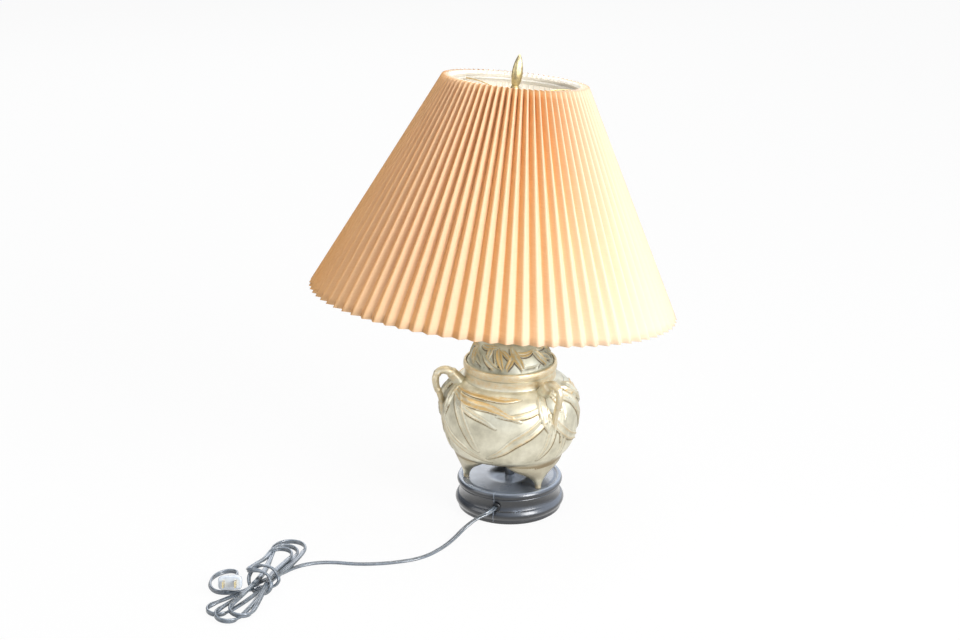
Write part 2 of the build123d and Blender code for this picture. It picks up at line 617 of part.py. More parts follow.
# ---- shade ----------------------------------------------------------------------------------------
def crest_radius(t):
    """Outer radius of the pleats at a height along the shade's axis."""
    slope = (SHADE_BOTTOM_R - SHADE_TOP_R) / SHADE_HEIGHT
    return SHADE_TOP_R + (SHADE_TOP_T - t) * slope


def valley_radius(t):
    """Inner radius of the pleats: the face keeps its length while the pitch grows."""
    crest = crest_radius(t)
    half_pitch = math.pi * crest / PLEATS
    return crest - math.sqrt(PLEAT_FACE ** 2 - half_pitch ** 2)


def star(t, inward):
    """Zigzag outline at a height, moved inwards."""
    corners = []
    for step in range(2 * PLEATS):
        radius = (valley_radius(t) if step % 2 else crest_radius(t)) - inward
        turn = math.pi * step / PLEATS
        corners.append((radius * math.cos(turn), radius * math.sin(turn)))
    return Pos(0, 0, t) * make_face(Polyline(*corners, close=True))


def cloth_inset(t):
    """Radial distance between the cloth's two sides, for its thickness square to the face."""
    half_pitch = math.pi * crest_radius(t) / PLEATS
    return CLOTH_T * PLEAT_FACE / half_pitch


def make_shade():
    top, bottom = SHADE_TOP_T, SHADE_BOTTOM_T
    outside = loft([star(bottom, 0), star(top, 0)], ruled=True)
    inside = loft([star(bottom, cloth_inset(bottom)), star(top, cloth_inset(top))], ruled=True)
    place = SHADE_FRAME.location
    save("shade_pleats", place * (outside - inside))
    ring_t = top - TOP_RING_DOWN
    for name, t in (("top", ring_t), ("bottom", bottom + BOTTOM_RING_UP)):
        half = TAPE_H / 2
        faces = []
        for level in (t - half, t + half):
            faces.append(valley_radius(level) - cloth_inset(level) - SLIP)
        tape = turned([(faces[0] - TAPE_T, t - half), (faces[0], t - half),
                       (faces[1], t + half), (faces[1] - TAPE_T, t + half)])
        save(f"shade_{name}_tape", place * tape)
        save(f"shade_{name}_ring", place * Pos(0, 0, t) * Torus(ring_line_r(t), RING_WIRE_R))
    make_spider(ring_t)


def ring_line_r(t):
    """Radius of a wire ring's centre line, just inside the tape at a height."""
    slope = (valley_radius(t - 1) - valley_radius(t + 1)) / 2
    lean = math.sqrt(1 + slope ** 2)
    return valley_radius(t) - cloth_inset(t) - 2 * SLIP - (TAPE_T + RING_WIRE_R) * lean


def make_spider(ring_t):
    """Hub washer over the crown with arms that rise to the top ring."""
    hub = ring(HUB_R, STUD_R + HUB_BORE_PLAY, HUB_T0, HUB_T0 + HUB_T)
    reach = ring_line_r(ring_t) - RING_WIRE_R + 0.3
    spider = hub
    arm_t = HUB_T0 + HUB_T / 2
    arm_r = HUB_T / 2 - 0.05
    for arm in range(ARMS):
        line = rounded_path([(HUB_R - 3, 0, arm_t), (reach * 0.35, 0, arm_t), (reach * 0.75, 0, ring_t),
                             (reach, 0, ring_t - 0.01)])
        spider += Rot(0, 0, ARM_BEARING + arm * 360 / ARMS) * tube_along(line, arm_r)
    save("shade_spider", SHADE_FRAME.location * spider)


# ---- finial ---------------------------------------------------------------------------------------
def make_finial():
    place = SHADE_FRAME.location
    top = FINIAL_T + FINIAL_BASE_H
    bore = STUD_R + RUN
    bore_top = PIVOT_BELOW_CROWN + STUD_OUT + SET_GAP
    base = turned([(bore, FINIAL_T), (FINIAL_BASE_R, FINIAL_T), (FINIAL_BASE_R, FINIAL_T + 2.4),
                   (FINIAL_BASE_R - 1.4, FINIAL_T + 3.4), (BUD_STEM_R + 0.9, top),
                   (bore, top)])
    save("finial_base", place * base)
    bud = turned_edges(
        Line((0, bore_top), (bore, bore_top)),
        Line((bore, bore_top), (bore, top)),
        Line((bore, top), (BUD_STEM_R + 0.4, top)),
        Spline((BUD_STEM_R + 0.4, top), (BUD_R - 0.7, top + 0.16 * BUD_H),
               (BUD_R, top + 0.36 * BUD_H), (BUD_R - 1.5, top + 0.66 * BUD_H),
               (0, top + BUD_H), tangents=[(0.3, 1), (-0.8, 1)]),
        Line((0, top + BUD_H), (0, bore_top)))
    save("finial_bud", place * bud)


# ---- cord and plug ---------------------------------------------------------------------------------
def plug_frame():
    """Frame at the middle of the plug's face, Z along the blades, X across the pair."""
    rise, turn = math.radians(PLUG_RISE), math.radians(PLUG_TURN)
    out = Vector(math.cos(rise) * math.sin(turn), -math.cos(rise) * math.cos(turn), math.sin(rise))
    across = Vector(math.cos(turn), math.sin(turn), 0)
    return Plane(origin=PLUG_FACE, x_dir=across, z_dir=out)


def rounded_slab(wide, high, depth):
    """Rounded rectangle square to the plug's axis, a depth behind the face."""
    corner = min(PLUG_ROUND, 0.45 * min(wide, high))
    return plug_frame().location * (Pos(0, 0, -depth) * RectangleRounded(wide, high, corner))


def make_cord():
    joint = at_bearing(CORD_BEARING, CORD_JOINT_R, CORD_EXIT_Z)
    route = [tuple(joint)] + CORD_ROUTE
    path = rounded_path(route)
    run = tube_along(path, CORD_R)
    print("cord radii", [round(r, 1) for r in bend_radii(route)])
    print("cord length", round(path.length, 1), "volume ratio",
          round(run.volume / (math.pi * CORD_R ** 2 * path.length), 4))
    save("cord_run", run)
    lift = Vector(0, 0, PIPE_BOTTOM_Z)
    inner = [joint, at_bearing(CORD_BEARING, CAVITY_R - 7, CORD_EXIT_Z),
             at_bearing(CORD_BEARING, 1.4, CORD_EXIT_Z - 10.5), lift + Vector(0, 0, 7),
             Vector(0.2, 0.0, PIPE_TOP_Z + 2)]
    save("inner_lead", tube_along(rounded_path(inner), CORD_R))
    sections = []
    for index, (x, y, half, high) in enumerate(HANK_STATIONS):
        before = HANK_STATIONS[max(index - 1, 0)]
        after = HANK_STATIONS[min(index + 1, len(HANK_STATIONS) - 1)]
        along = Vector(after[0] - before[0], after[1] - before[1], 0)
        frame = Plane(origin=(x, y, high / 2), x_dir=along.cross(Vector(0, 0, 1)), z_dir=along)
        sections.append(frame * Ellipse(half, high / 2))
    save("cord_hank", loft(sections, ruled=True))


def make_plug():
    sections = [rounded_slab(PLUG_WIDE - 1.6, PLUG_HIGH - 1.6, 0),
                rounded_slab(PLUG_WIDE, PLUG_HIGH, 1.2),
                rounded_slab(PLUG_WIDE, PLUG_HIGH, 0.5 * PLUG_LONG),
                rounded_slab(PLUG_TAIL_WIDE, PLUG_TAIL_HIGH, PLUG_LONG)]
    body = loft(sections, ruled=True)
    blades = []
    frame = plug_frame().location
    for side in (-1, 1):
        blade = Box(BLADE_T, BLADE_WIDE, BLADE_OUT + BLADE_IN, align=(Align.CENTER, Align.CENTER, Align.MIN))
        blade = frame * Pos(side * BLADE_PITCH / 2, 0, -BLADE_IN) * blade
        blades.append(blade)
        body -= blade
    save("plug_body", body)
    save("plug_blades", Compound(children=blades))


make_base()
make_pipe()
make_urn()
make_lid()
make_saddle()
make_harp()
make_socket()
make_bulb()
make_shade()
make_finial()
make_cord()
make_plug()
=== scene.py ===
"""Table lamp with a pleated cone shade on a cast bronze urn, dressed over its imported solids.

Millimetres are written as numbers and turned to metres by MM. Bearings are degrees from the
front (-Y) towards the right (+X). A grid has its rows along the profile and its columns round it.
"""
import json
import math

import bmesh
import bpy
import numpy as np
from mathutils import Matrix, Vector


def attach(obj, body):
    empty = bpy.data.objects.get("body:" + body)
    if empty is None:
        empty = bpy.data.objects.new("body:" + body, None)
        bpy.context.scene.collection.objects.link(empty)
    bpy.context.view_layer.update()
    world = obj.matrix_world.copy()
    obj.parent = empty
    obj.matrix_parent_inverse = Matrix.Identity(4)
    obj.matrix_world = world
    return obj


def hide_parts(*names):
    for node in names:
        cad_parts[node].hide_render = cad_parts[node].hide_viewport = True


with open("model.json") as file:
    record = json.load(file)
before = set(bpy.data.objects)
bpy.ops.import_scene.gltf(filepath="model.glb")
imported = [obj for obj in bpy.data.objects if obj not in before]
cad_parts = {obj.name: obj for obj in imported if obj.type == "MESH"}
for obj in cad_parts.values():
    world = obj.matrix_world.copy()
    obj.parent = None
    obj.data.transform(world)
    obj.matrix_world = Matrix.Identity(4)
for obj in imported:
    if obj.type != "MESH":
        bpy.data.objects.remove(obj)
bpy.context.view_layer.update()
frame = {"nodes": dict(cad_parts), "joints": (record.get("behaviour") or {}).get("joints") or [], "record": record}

MM = 0.001
TURN = 2 * math.pi
UP = np.array([0.0, 0.0, 1.0])
RNG = np.random.default_rng(7)
PERIODS = (0.0, 120.0, 240.0)      # the urn and its lid repeat three times round


# ---- shapes ------------------------------------------------------------------
def rows_of(values):
    return np.asarray(values, float)


def unit(vectors):
    """Each vector divided by its length."""
    vectors = rows_of(vectors)
    return vectors / np.maximum(np.linalg.norm(vectors, axis=-1, keepdims=True), 1e-12)


def smooth_line(points, count):
    """Catmull-Rom curve through points: each span is the cubic whose end slopes are half the
    chord between its neighbours; count places evenly spaced by point number."""
    points = rows_of(points)
    ends = np.vstack([2 * points[0] - points[1], points, 2 * points[-1] - points[-2]])
    where = np.linspace(0, len(points) - 1 - 1e-9, count)
    span = where.astype(int)
    t = (where - span)[:, None]
    a, b, c, d = (ends[span + k] for k in range(4))
    return 0.5 * (2 * b + (c - a) * t + (2 * a - 5 * b + 4 * c - d) * t ** 2
                  + (3 * b - a - 3 * c + d) * t ** 3)


def evenly(line, count):
    """The same line cut into equal lengths."""
    steps = np.linalg.norm(np.diff(line, axis=0), axis=1)
    run = np.concatenate([[0], np.cumsum(steps)])
    at = np.linspace(0, run[-1], count)
    return np.stack([np.interp(at, run, line[:, k]) for k in range(line.shape[1])], axis=1)


def eased(corners, radius, steps=5):
    """Outline with each inner corner replaced by a parabola that starts a radius before it."""
    corners = rows_of(corners)
    out = [corners[:1]]
    for before, corner, after in zip(corners, corners[1:-1], corners[2:]):
        reach = [min(radius, 0.45 * np.linalg.norm(p - corner)) for p in (before, after)]
        start = corner + unit(before - corner) * reach[0]
        end = corner + unit(after - corner) * reach[1]
        t = np.linspace(0, 1, steps)[:, None]
        out.append((1 - t) ** 2 * start + 2 * t * (1 - t) * corner + t ** 2 * end)
    return np.vstack(out + [corners[-1:]])


def smoothstep(low, high, x):
    t = np.clip((x - low) / (high - low), 0, 1)
    return t * t * (3 - 2 * t)


def turned(profile, angles):
    """Profile of radius and height carried round +Z: x = r sin a, y = -r cos a, z = h."""
    r, h = profile[:, 0][:, None], profile[:, 1][:, None]
    return np.stack([r * np.sin(angles), -r * np.cos(angles), h + 0 * angles], axis=-1)


def round_angles(count):
    return np.linspace(0, TURN, count, endpoint=False)


def noise_round(angles, waves):
    """Sum of whole-number waves with random phases and equal heights, about -1 to 1."""
    total = np.zeros_like(angles)
    for k in waves:
        total += np.sin(k * angles + RNG.uniform(0, TURN)) / math.sqrt(len(waves))
    return total


def bell(x, middle, reach):
    """Bell curve exp(-((x - middle) / reach)^2)."""
    return np.exp(-((x - middle) / reach) ** 2)


def radial(bearing):
    """Level unit vectors out from the axis and round it at a bearing."""
    turn = math.radians(bearing)
    return (np.array([math.sin(turn), -math.cos(turn), 0.0]),
            np.array([math.cos(turn), math.sin(turn), 0.0]))


def push_out(rows, amount, slope, angles):
    """Moves rows of a turned grid by an amount, square to the profile's unit slope."""
    across = amount * slope[:, 1:]
    rows += np.stack([across * np.sin(angles), -across * np.cos(angles),
                      -amount * slope[:, :1]], axis=-1)


def grid_faces(rows, columns, wrap, loop=False):
    """Quads between neighbours of a grid: wrap joins the last column to the first, loop the
    last row to the first."""
    index = np.arange(rows * columns).reshape(rows, columns)
    if wrap:
        index = np.hstack([index, index[:, :1]])
    if loop:
        index = np.vstack([index, index[:1]])
    return np.stack([index[:-1, :-1], index[:-1, 1:], index[1:, 1:], index[1:, :-1]],
                    axis=-1).reshape(-1, 4)


class Shell:
    """Points and faces of one piece, gathered from grids before they go into a mesh."""

    def __init__(self):
        self.points, self.quads, self.triangles, self.values, self.count = [], [], [], [], 0

    def add(self, grid, wrap=True, loop=False, caps=(False, False), values=None):
        """Adds a grid; a cap closes the first or last row with a fan to its middle."""
        rows, columns = grid.shape[:2]
        self.quads.append(grid_faces(rows, columns, wrap, loop) + self.count)
        points = [grid.reshape(-1, 3)]
        marks = [np.zeros(rows * columns) if values is None else values.ravel()]
        total = rows * columns
        for row, closed in zip((0, rows - 1), caps):
            if closed:
                ring = row * columns + np.arange(columns)
                after = np.roll(ring, -1)
                tip = np.full(columns, total)
                fan = (tip, after, ring) if row == 0 else (tip, ring, after)
                self.triangles.append(np.stack(fan, axis=1) + self.count)
                points.append(grid[row].mean(axis=0, keepdims=True))
                marks.append(marks[0][ring].mean(keepdims=True))
                total += 1
        self.points += points
        self.values += marks
        self.count += total
        return self

    def piece(self, name, body, slot, replaces, mark=None, finish=None, second=None):
        """Mesh object with outward faces, its body and its slot's finish or another; mark names
        the attribute of the values, second is another finish and which faces take it."""
        faces = [f.tolist() for group in (self.quads, self.triangles) for f in group]
        faces = [face for group in faces for face in group]
        mesh = bpy.data.meshes.new(name)
        mesh.from_pydata((np.vstack(self.points) * MM).tolist(), [], faces)
        if mark:
            layer = mesh.attributes.new(mark, "FLOAT", "POINT")
            layer.data.foreach_set("value", np.concatenate(self.values).astype(np.float32))
        work = bmesh.new()
        work.from_mesh(mesh)
        bmesh.ops.recalc_face_normals(work, faces=work.faces)
        work.to_mesh(mesh)
        work.free()
        mesh.polygons.foreach_set("use_smooth", np.ones(len(mesh.polygons), bool))
        mesh.materials.append(finish or FINISHES[slot])
        if second:
            mesh.materials.append(second[0])
            mesh.polygons.foreach_set("material_index", second[1].astype(np.int32))
        mesh.update()
        obj = bpy.data.objects.new(name, mesh)
        bpy.context.scene.collection.objects.link(obj)
        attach(obj, body)
        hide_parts(*replaces)
        return obj


def carried(line, radii, wide):
    """Rings square to a line: each point plus radius times cos side plus sin lift. The side
    direction is the given one, made square to the line."""
    along = unit(np.gradient(line, axis=0))
    side = unit(wide - along * np.sum(wide * along, axis=1, keepdims=True))
    lift = np.cross(side, along)
    angles = round_angles(radii.shape[1])
    return (line[:, None] + radii[..., None] * (np.cos(angles)[:, None] * side[:, None]
                                                + np.sin(angles)[:, None] * lift[:, None]))


# ---- finishes ----------------------------------------------------------------
def colour(code):
    """sRGB hex code to linear red, green, blue and one."""
    parts = [int(code[k:k + 2], 16) / 255 for k in (1, 3, 5)]
    return [p / 12.92 if p <= 0.04045 else ((p + 0.055) / 1.055) ** 2.4 for p in parts] + [1.0]


def add(tree, kind, links=(), **settings):
    """Adds a node. A setting is an attribute of the node or an input by its name or number; a
    link is (input, source node, output)."""
    node = tree.nodes.new(kind)
    for key, value in settings.items():
        name = int(key[1:]) if key[:1] == "_" else key.replace("_", " ")
        if hasattr(node, key):
            setattr(node, key, value)
        else:
            node.inputs[name].default_value = value
    for target, source, output in links:
        tree.links.new(source.outputs[output], node.inputs[target])
    return node


def finish(name, base, roughness, **more):
    """A new material with its Principled shader; the base is a hex code."""
    made = bpy.data.materials.new(name)
    made.use_nodes = True
    shader = made.node_tree.nodes["Principled BSDF"]
    for key, value in dict(more, Base_Color=colour(base), Roughness=roughness).items():
        shader.inputs[key.replace("_", " ")].default_value = value
    return made, made.node_tree, shader


def feed(shader, socket, source, output=0):
    """Links an output to a socket of the shader."""
    shader.id_data.links.new(source.outputs[output], shader.inputs[socket])


def noise(tree, scale, detail, stretch=(1, 1, 1), cloth=None, **more):
    """Noise in object coordinates, or in those of a cloth's map: scale patches to the metre,
    and more along an axis that is stretched."""
    where = (cloth, "UV") if cloth else (add(tree, "ShaderNodeTexCoord"), "Object")
    spread = add(tree, "ShaderNodeMapping", [("Vector", *where)], Scale=stretch)
    return add(tree, "ShaderNodeTexNoise", [("Vector", spread, "Vector")], Scale=scale,
               Detail=detail, **more)


def ramp(tree, source, *stops):
    """Colour ramp with hex stops."""
    node = add(tree, "ShaderNodeValToRGB", [("Fac", source, 0)])
    band = node.color_ramp.elements
    while len(band) < len(stops):
        band.new(0.5)
    for stop, (position, code) in zip(band, stops):
        stop.position, stop.color = position, colour(code)
    return node


def greys(tree, source, low, high, dark=0.0, light=1.0, output=0):
    """Number mapped from one range to another."""
    return add(tree, "ShaderNodeMapRange", [("Value", source, output)], From_Min=low,
               From_Max=high, To_Min=dark, To_Max=light)


def bump(tree, shader, source, height_mm, strength):
    """Bump of a real height under a shader."""
    feed(shader, "Normal", add(tree, "ShaderNodeBump", [("Height", source, 0)],
                               Distance=height_mm * MM, Strength=strength))


def mix(tree, factor, first, second, output=0):
    """Colour mix; first is (node, output), second a hex code."""
    node = add(tree, "ShaderNodeMix", [(0, factor, output), (6, *first)], data_type="RGBA")
    node.inputs[7].default_value = colour(second)
    return node


def follow(tree, shader, source, stops, rough, height_mm, strength):
    """Colour stops, a roughness range and a bump that all follow one noise."""
    if stops:
        feed(shader, "Base Color", ramp(tree, source, *stops))
    if rough:
        feed(shader, "Roughness", greys(tree, source, *rough))
    bump(tree, shader, source, height_mm, strength)


def ebonised_maple():
    """Turned maple, stained black and lacquered: faint rings of the tool and grain, and one pale
    blue-grey for a dried-out crack and a scuff, for a painted highlight along the top's rim and for
    a painted reflection of the sky over the top."""
    made, tree, shader = finish("ebonised_maple_lacquered", "#24262c", 0.38, Coat_Weight=1.0,
                                Coat_Roughness=0.26, Coat_IOR=1.65, Specular_IOR_Level=0.25)
    # 9 mm figure, stretched level
    grain = noise(tree, 110.0, 5.0, (1, 1, 9), Roughness=0.6)
    tone = ramp(tree, grain, (0.35, "#0c0f13"), (0.62, "#15191f"), (0.8, "#232931"))
    # pale blue-grey by the attribute of pale marks: crack and scuff, and painted highlight and reflection on the
    # top
    mark = add(tree, "ShaderNodeAttribute", attribute_name="pale_marks")
    feed(shader, "Base Color", mix(tree, mark, (tone, 0), "#b9c6da", "Fac"), 2)
    wear = noise(tree, 60.0, 6.0)                       # 17 mm patches of rubbing
    feed(shader, "Roughness", greys(tree, wear, 0.3, 0.7, 0.24, 0.44))
    rings = noise(tree, 40.0, 3.0, (1, 1, 40))          # 0.6 mm tool rings
    bump(tree, shader, rings, 0.12, 0.6)
    return made


def cast_bronze(name, dark, middle, light, gilt, patina_and_shade, metal, rough):
    """Sand-cast bronze, pale grey-gold patina rubbed bright on raised leaves, brown in the roots: the
    leaf attribute is 1 on a raised leaf, below 0 for the brown, which is patina and painted shade
    beside the leaves, under the belly and where the feet join it."""
    made, tree, shader = finish(name, middle, rough, Metallic=metal)
    cloud = noise(tree, 38.0, 5.0, Roughness=0.62)      # 26 mm clouds of patina
    ground = ramp(tree, cloud, (0.3, dark), (0.5, middle), (0.68, light))
    leaf = add(tree, "ShaderNodeAttribute", attribute_name="leaf")
    rub = noise(tree, 200.0, 4.0, (1, 1, 3.5))          # 5 mm level strokes of rubbing
    raised = add(tree, "ShaderNodeMath", [(0, leaf, "Fac"), (1, rub, "Fac")],
                 operation="MULTIPLY")
    bright = mix(tree, greys(tree, raised, 0.12, 0.56), (ground, 0), gilt)
    # the brown where leaf is below 0: patina and painted shade
    patina_and_shade_share = greys(tree, leaf, -0.08, -0.7, output="Fac")
    feed(shader, "Base Color", mix(tree, patina_and_shade_share, (bright, 2), patina_and_shade), 2)
    feed(shader, "Roughness", greys(tree, cloud, 0.3, 0.7, rough + 0.08, rough - 0.08))
    sand = noise(tree, 900.0, 3.0)                      # 1.1 mm casting grain
    bump(tree, shader, sand, 0.08, 0.7)
    return made


def worn_brass(name, base, dark, roughness, scale):
    """Brass with a thin uneven tarnish; scale is the tarnish's patches per metre."""
    made, tree, shader = finish(name, base, roughness, Metallic=1.0)
    film = noise(tree, scale, 5.0, Roughness=0.6)
    follow(tree, shader, film, [(0.36, dark), (0.6, base)],
           (0.35, 0.65, roughness + 0.14, roughness), 0.03, 0.6)
    return made


def plated(name, base, roughness):
    """Drawn or plated metal: fine even specks of the plating, 1.4 mm apart."""
    made, tree, shader = finish(name, base, roughness, Metallic=1.0)
    speck = noise(tree, 700.0, 3.0)
    follow(tree, shader, speck, (), (0.3, 0.7, roughness - 0.06, roughness + 0.1), 0.02, 0.5)
    return made


def moulded(name, base, shade, roughness, **more):
    """Moulded plastic: a slight mottle and the fine orange peel of the mould, 2 mm across."""
    made, tree, shader = finish(name, base, roughness, **more)
    mottle = noise(tree, 500.0, 4.0)
    follow(tree, shader, mottle, [(0.35, shade), (0.65, base)], (), 0.03, 0.5)
    return made


def pleat_cloth():
    """Tan silk-look cloth bonded to board: threads along and across the shade's own map, slubs
    along the weft, and by the fold attribute painted shade in the folds where it is above 0 and
    painted light, paler cloth, where it is below 0."""
    made, tree, shader = finish("bonded_silk_tan", "#e3a469", 0.78, Sheen_Weight=0.1,
                                Sheen_Roughness=0.4, Specular_IOR_Level=0.15)
    cloth = add(tree, "ShaderNodeUVMap", uv_map="cloth")
    # the map is in metres along the cloth; real threads of 0.25 mm are drawn 1.4 mm apart
    slub = noise(tree, 1.0, 4.0, (700, 60, 1), cloth, Roughness=0.65)
    cross = noise(tree, 1.0, 4.0, (60, 700, 1), cloth)
    weave = add(tree, "ShaderNodeMath", [(0, slub, "Fac"), (1, cross, "Fac")], operation="ADD")
    fade = noise(tree, 9.0, 3.0)                        # 110 mm sun-faded areas
    tint = ramp(tree, fade, (0.3, "#dfa064"), (0.7, "#e6ad71"))
    toned = mix(tree, greys(tree, weave, 0.7, 1.3), (tint, 0), "#edbd85")
    faint = add(tree, "ShaderNodeMix", [(6, tint, "Color"), (7, toned, 2)], data_type="RGBA",
                _0=0.55)
    fold = add(tree, "ShaderNodeAttribute", attribute_name="fold")
    # painted light: where fold is below 0 the cloth is mixed towards a pale cream
    painted_light = mix(tree, greys(tree, fold, 0.0, -1.0, output="Fac"), (faint, 2), "#faeed8")
    # painted shade: where fold is above 0 the cloth is mixed towards dark brown
    painted_shade = mix(tree, greys(tree, fold, 0.0, 1.0, output="Fac"), (painted_light, 2), "#7d5835")
    feed(shader, "Base Color", painted_shade, 2)
    bump(tree, shader, weave, 0.12, 0.5)
    return made


def woven(name, base, shade, spacing_mm, painted_glow=0.0):
    """Plain cloth or felt with its threads or fibres a spacing apart; the last setting is a painted
    glow, an emission of the cloth's own colour that stands in for daylight coming through it."""
    made, tree, shader = finish(name, base, 0.9, Sheen_Weight=0.15,
                                Emission_Color=colour(base), Emission_Strength=painted_glow)
    fibre = noise(tree, 1 / (spacing_mm * MM), 4.0)
    follow(tree, shader, fibre, [(0.35, shade), (0.65, base)], (), 0.15, 0.8)
    return made


def frosted_glass():
    """Bulb glass frosted inside: milky, softly bright, smooth outside."""
    made, tree, shader = finish("bulb_glass_frosted", "#f2f1ec", 0.16, Transmission_Weight=0.35,
                                Subsurface_Weight=0.3, Subsurface_Radius=(0.01, 0.01, 0.01),
                                Coat_Weight=0.6, Coat_Roughness=0.05)
    feed(shader, "Roughness", greys(tree, noise(tree, 50.0, 2.0), 0.3, 0.7, 0.14, 0.24))
    return made


def vinyl(name, base, shade, roughness):
    """Flexible vinyl jacket: dull sheen of plasticiser with handling marks 8 mm across."""
    made, tree, shader = finish(name, base, roughness, Coat_Weight=0.8, Coat_Roughness=0.16,
                                Coat_IOR=1.8)
    film = noise(tree, 120.0, 5.0, Roughness=0.6)
    follow(tree, shader, film, [(0.34, shade), (0.66, base)],
           (0.3, 0.7, roughness - 0.08, roughness + 0.12), 0.06, 0.5)
    return made


FINISHES = {
    "ebonised_wood": ebonised_maple(),
    "felt": woven("wool_felt_green", "#26322a", "#182019", 0.8),
    "black_plastic": moulded("phenolic_black_moulded", "#202125", "#15161a", 0.3),
    "steel": plated("zinc_plated_steel", "#b9bcc0", 0.34),
    # its brown is patina and painted shade beside the leaves and under the belly
    "bronze": cast_bronze("cast_bronze_patinated", "#b7b19c", "#d2ccb6", "#e6e1cc", "#d3b27a",
                          "#806b46", 0.8, 0.44),
    "brass": worn_brass("rolled_brass_lacquered", "#d9b566", "#b08c48", 0.26, 90.0),
    "finial_brass": worn_brass("finial_bronze_rubbed", "#cfbb8a", "#8f8164", 0.3, 140.0),
    "liner_board": woven("pressed_board_brown", "#6b5238", "#543f2a", 0.6),
    "phenolic": moulded("phenolic_brown_moulded", "#2c1c14", "#1e120c", 0.28),
    "contact_brass": plated("contact_brass_bright", "#d8c08a", 0.24),
    "bulb_glass": frosted_glass(),
    "bulb_metal": plated("rolled_aluminium_cap", "#cfd0d1", 0.3),
    "bulb_insulator": moulded("black_glass_insulator", "#17171a", "#0e0e10", 0.12),
    "bulb_inner": moulded("stem_glass_clear", "#d9dee0", "#c9cfd2", 0.08,
                          Transmission_Weight=0.6),
    "shade_cloth": pleat_cloth(),
    "shade_tape": woven("bonded_cotton_tape_white", "#f0ebe0", "#ddd6c8", 0.5),
    "shade_wire": moulded("white_enamelled_wire", "#ece8df", "#dcd7cb", 0.35),
    "spider_brass": plated("brass_plated_steel", "#cfb278", 0.3),
    "cord_jacket": vinyl("flexible_vinyl_slate", "#6a747d", "#434b53", 0.28),
    "plug_plastic": vinyl("moulded_vinyl_pale_grey", "#d3dae2", "#c2cad4", 0.3),
}
# its brown is patina and painted shadow beside the lid's leaves
LID_BRONZE = cast_bronze("cast_bronze_lid", "#8f8c78", "#b3b09c", "#cbc8b6", "#c0a26b", "#55422b",
                         0.5, 0.52)
# the lining's faint glow is painted light: an emission standing in for daylight through the cloth
LINING = woven("styrene_lining_ivory", "#fdfaf3", "#f8f2e6", 2.0, 0.18)


def dress_solids():
    """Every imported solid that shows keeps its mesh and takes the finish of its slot."""
    slots = {part["node"]: part["material_slot"] for part in frame["record"]["subparts"]}
    for node, obj in frame["nodes"].items():
        obj.data.materials.clear()
        obj.data.materials.append(FINISHES[slots[node]])


# ---- cord --------------------------------------------------------------------
CORD_HALF_GAP = 1.26         # from the cord's middle to each conductor's
CORD_LOBE_R = 1.42
CORD_RINGS, CORD_SIDES = 1200, 18
STRAIGHT_R, TIGHT_R = 60, 22    # bends wider than the first lie level, under the second upright
# from where the inner lead joins it, out of the bushing and over the floor to the hank
CORD_ROUTE = [(-12.68, -44.22, 21.5), (-18.5, -64.5, 21.4), (-38.0, -73.0, 15.6),
              (-52.0, -82.0, 8.0), (-62.5, -96.0, 2.4), (-75.0, -118.0, 1.6),
              (-96.0, -143.5, 1.5), (-127.0, -155.5, 1.5), (-164.0, -160.0, 1.5),
              (-199.0, -153.5, 1.5), (-222.0, -158.0, 1.7), (-238.0, -171.0, 2.8),
              (-250.0, -187.0, 3.4)]
WAIST = (-263.0, -204.0)     # where the wraps hold the hank
WAIST_ACROSS = (0.929, -0.370)
# loops by turns at the front and at the back: tip x, y, half width, first and last height, bow
HANK_LOOPS = [(-314, -275, 11.4, 4.2, 2.9, 3.0), (-241, -112, 17.0, 5.6, 5.2, 3.0),
              (-301, -293, 12.0, 7.4, 3.2, 4.0), (-245, -126, 12.2, 4.6, 8.6, 1.0),
              (-286, -285, 11.4, 9.4, 4.6, 1.0), (-250, -139, 11.4, 8.6, 11.0, -1.0)]
# where each strand passes the waist: across, height
WAIST_LANES = [(-2.0, 5.6), (5.6, 6.0), (-7.0, 6.6), (4.0, 9.0), (-5.5, 10.4), (5.4, 12.6),
               (-11.0, 12.0)]
BULGE = [(-275.5, -177.0, 12.0), (-281.5, -188.0, 12.3), (-284.5, -199.0, 14.0)]
# wraps: angle round the bundle, middle x, y, half width, half height
WRAPS = [(120, -271, -210, 14.5, 9.6), (60, -268, -213, 14.5, 9.6), (0, -268, -222, 14.0, 9.2),
         (-60, -269, -228, 14.0, 8.2), (-120, -271, -223, 14.5, 8.4),
         (-180, -268, -209, 14.5, 9.2), (-240, -265, -200, 13.5, 9.8),
         (-300, -262, -202, 13.5, 10.0), (-360, -262, -208, 15.0, 9.2),
         (-420, -264, -213, 15.5, 8.2), (-450, -269, -214, 16.0, 7.4)]
WRAP_LIFT = 1.5
TO_PLUG = [(-281.0, -222.5, 3.0), (-292.0, -228.0, 3.4), (-303.0, -231.0, 4.4),
           (-313.5, -230.0, 4.6), (-320.5, -222.0, 4.8), (-323.5, -209.5, 5.0),
           (-321.0, -197.0, 5.4), (-314.0, -188.0, 6.0), (-304.0, -185.6, 7.2),
           (-296.0, -190.5, 8.4), (-294.0, -199.5, 9.2), (-295.4, -207.0, 10.0),
           (-296.2, -213.0, 10.9)]


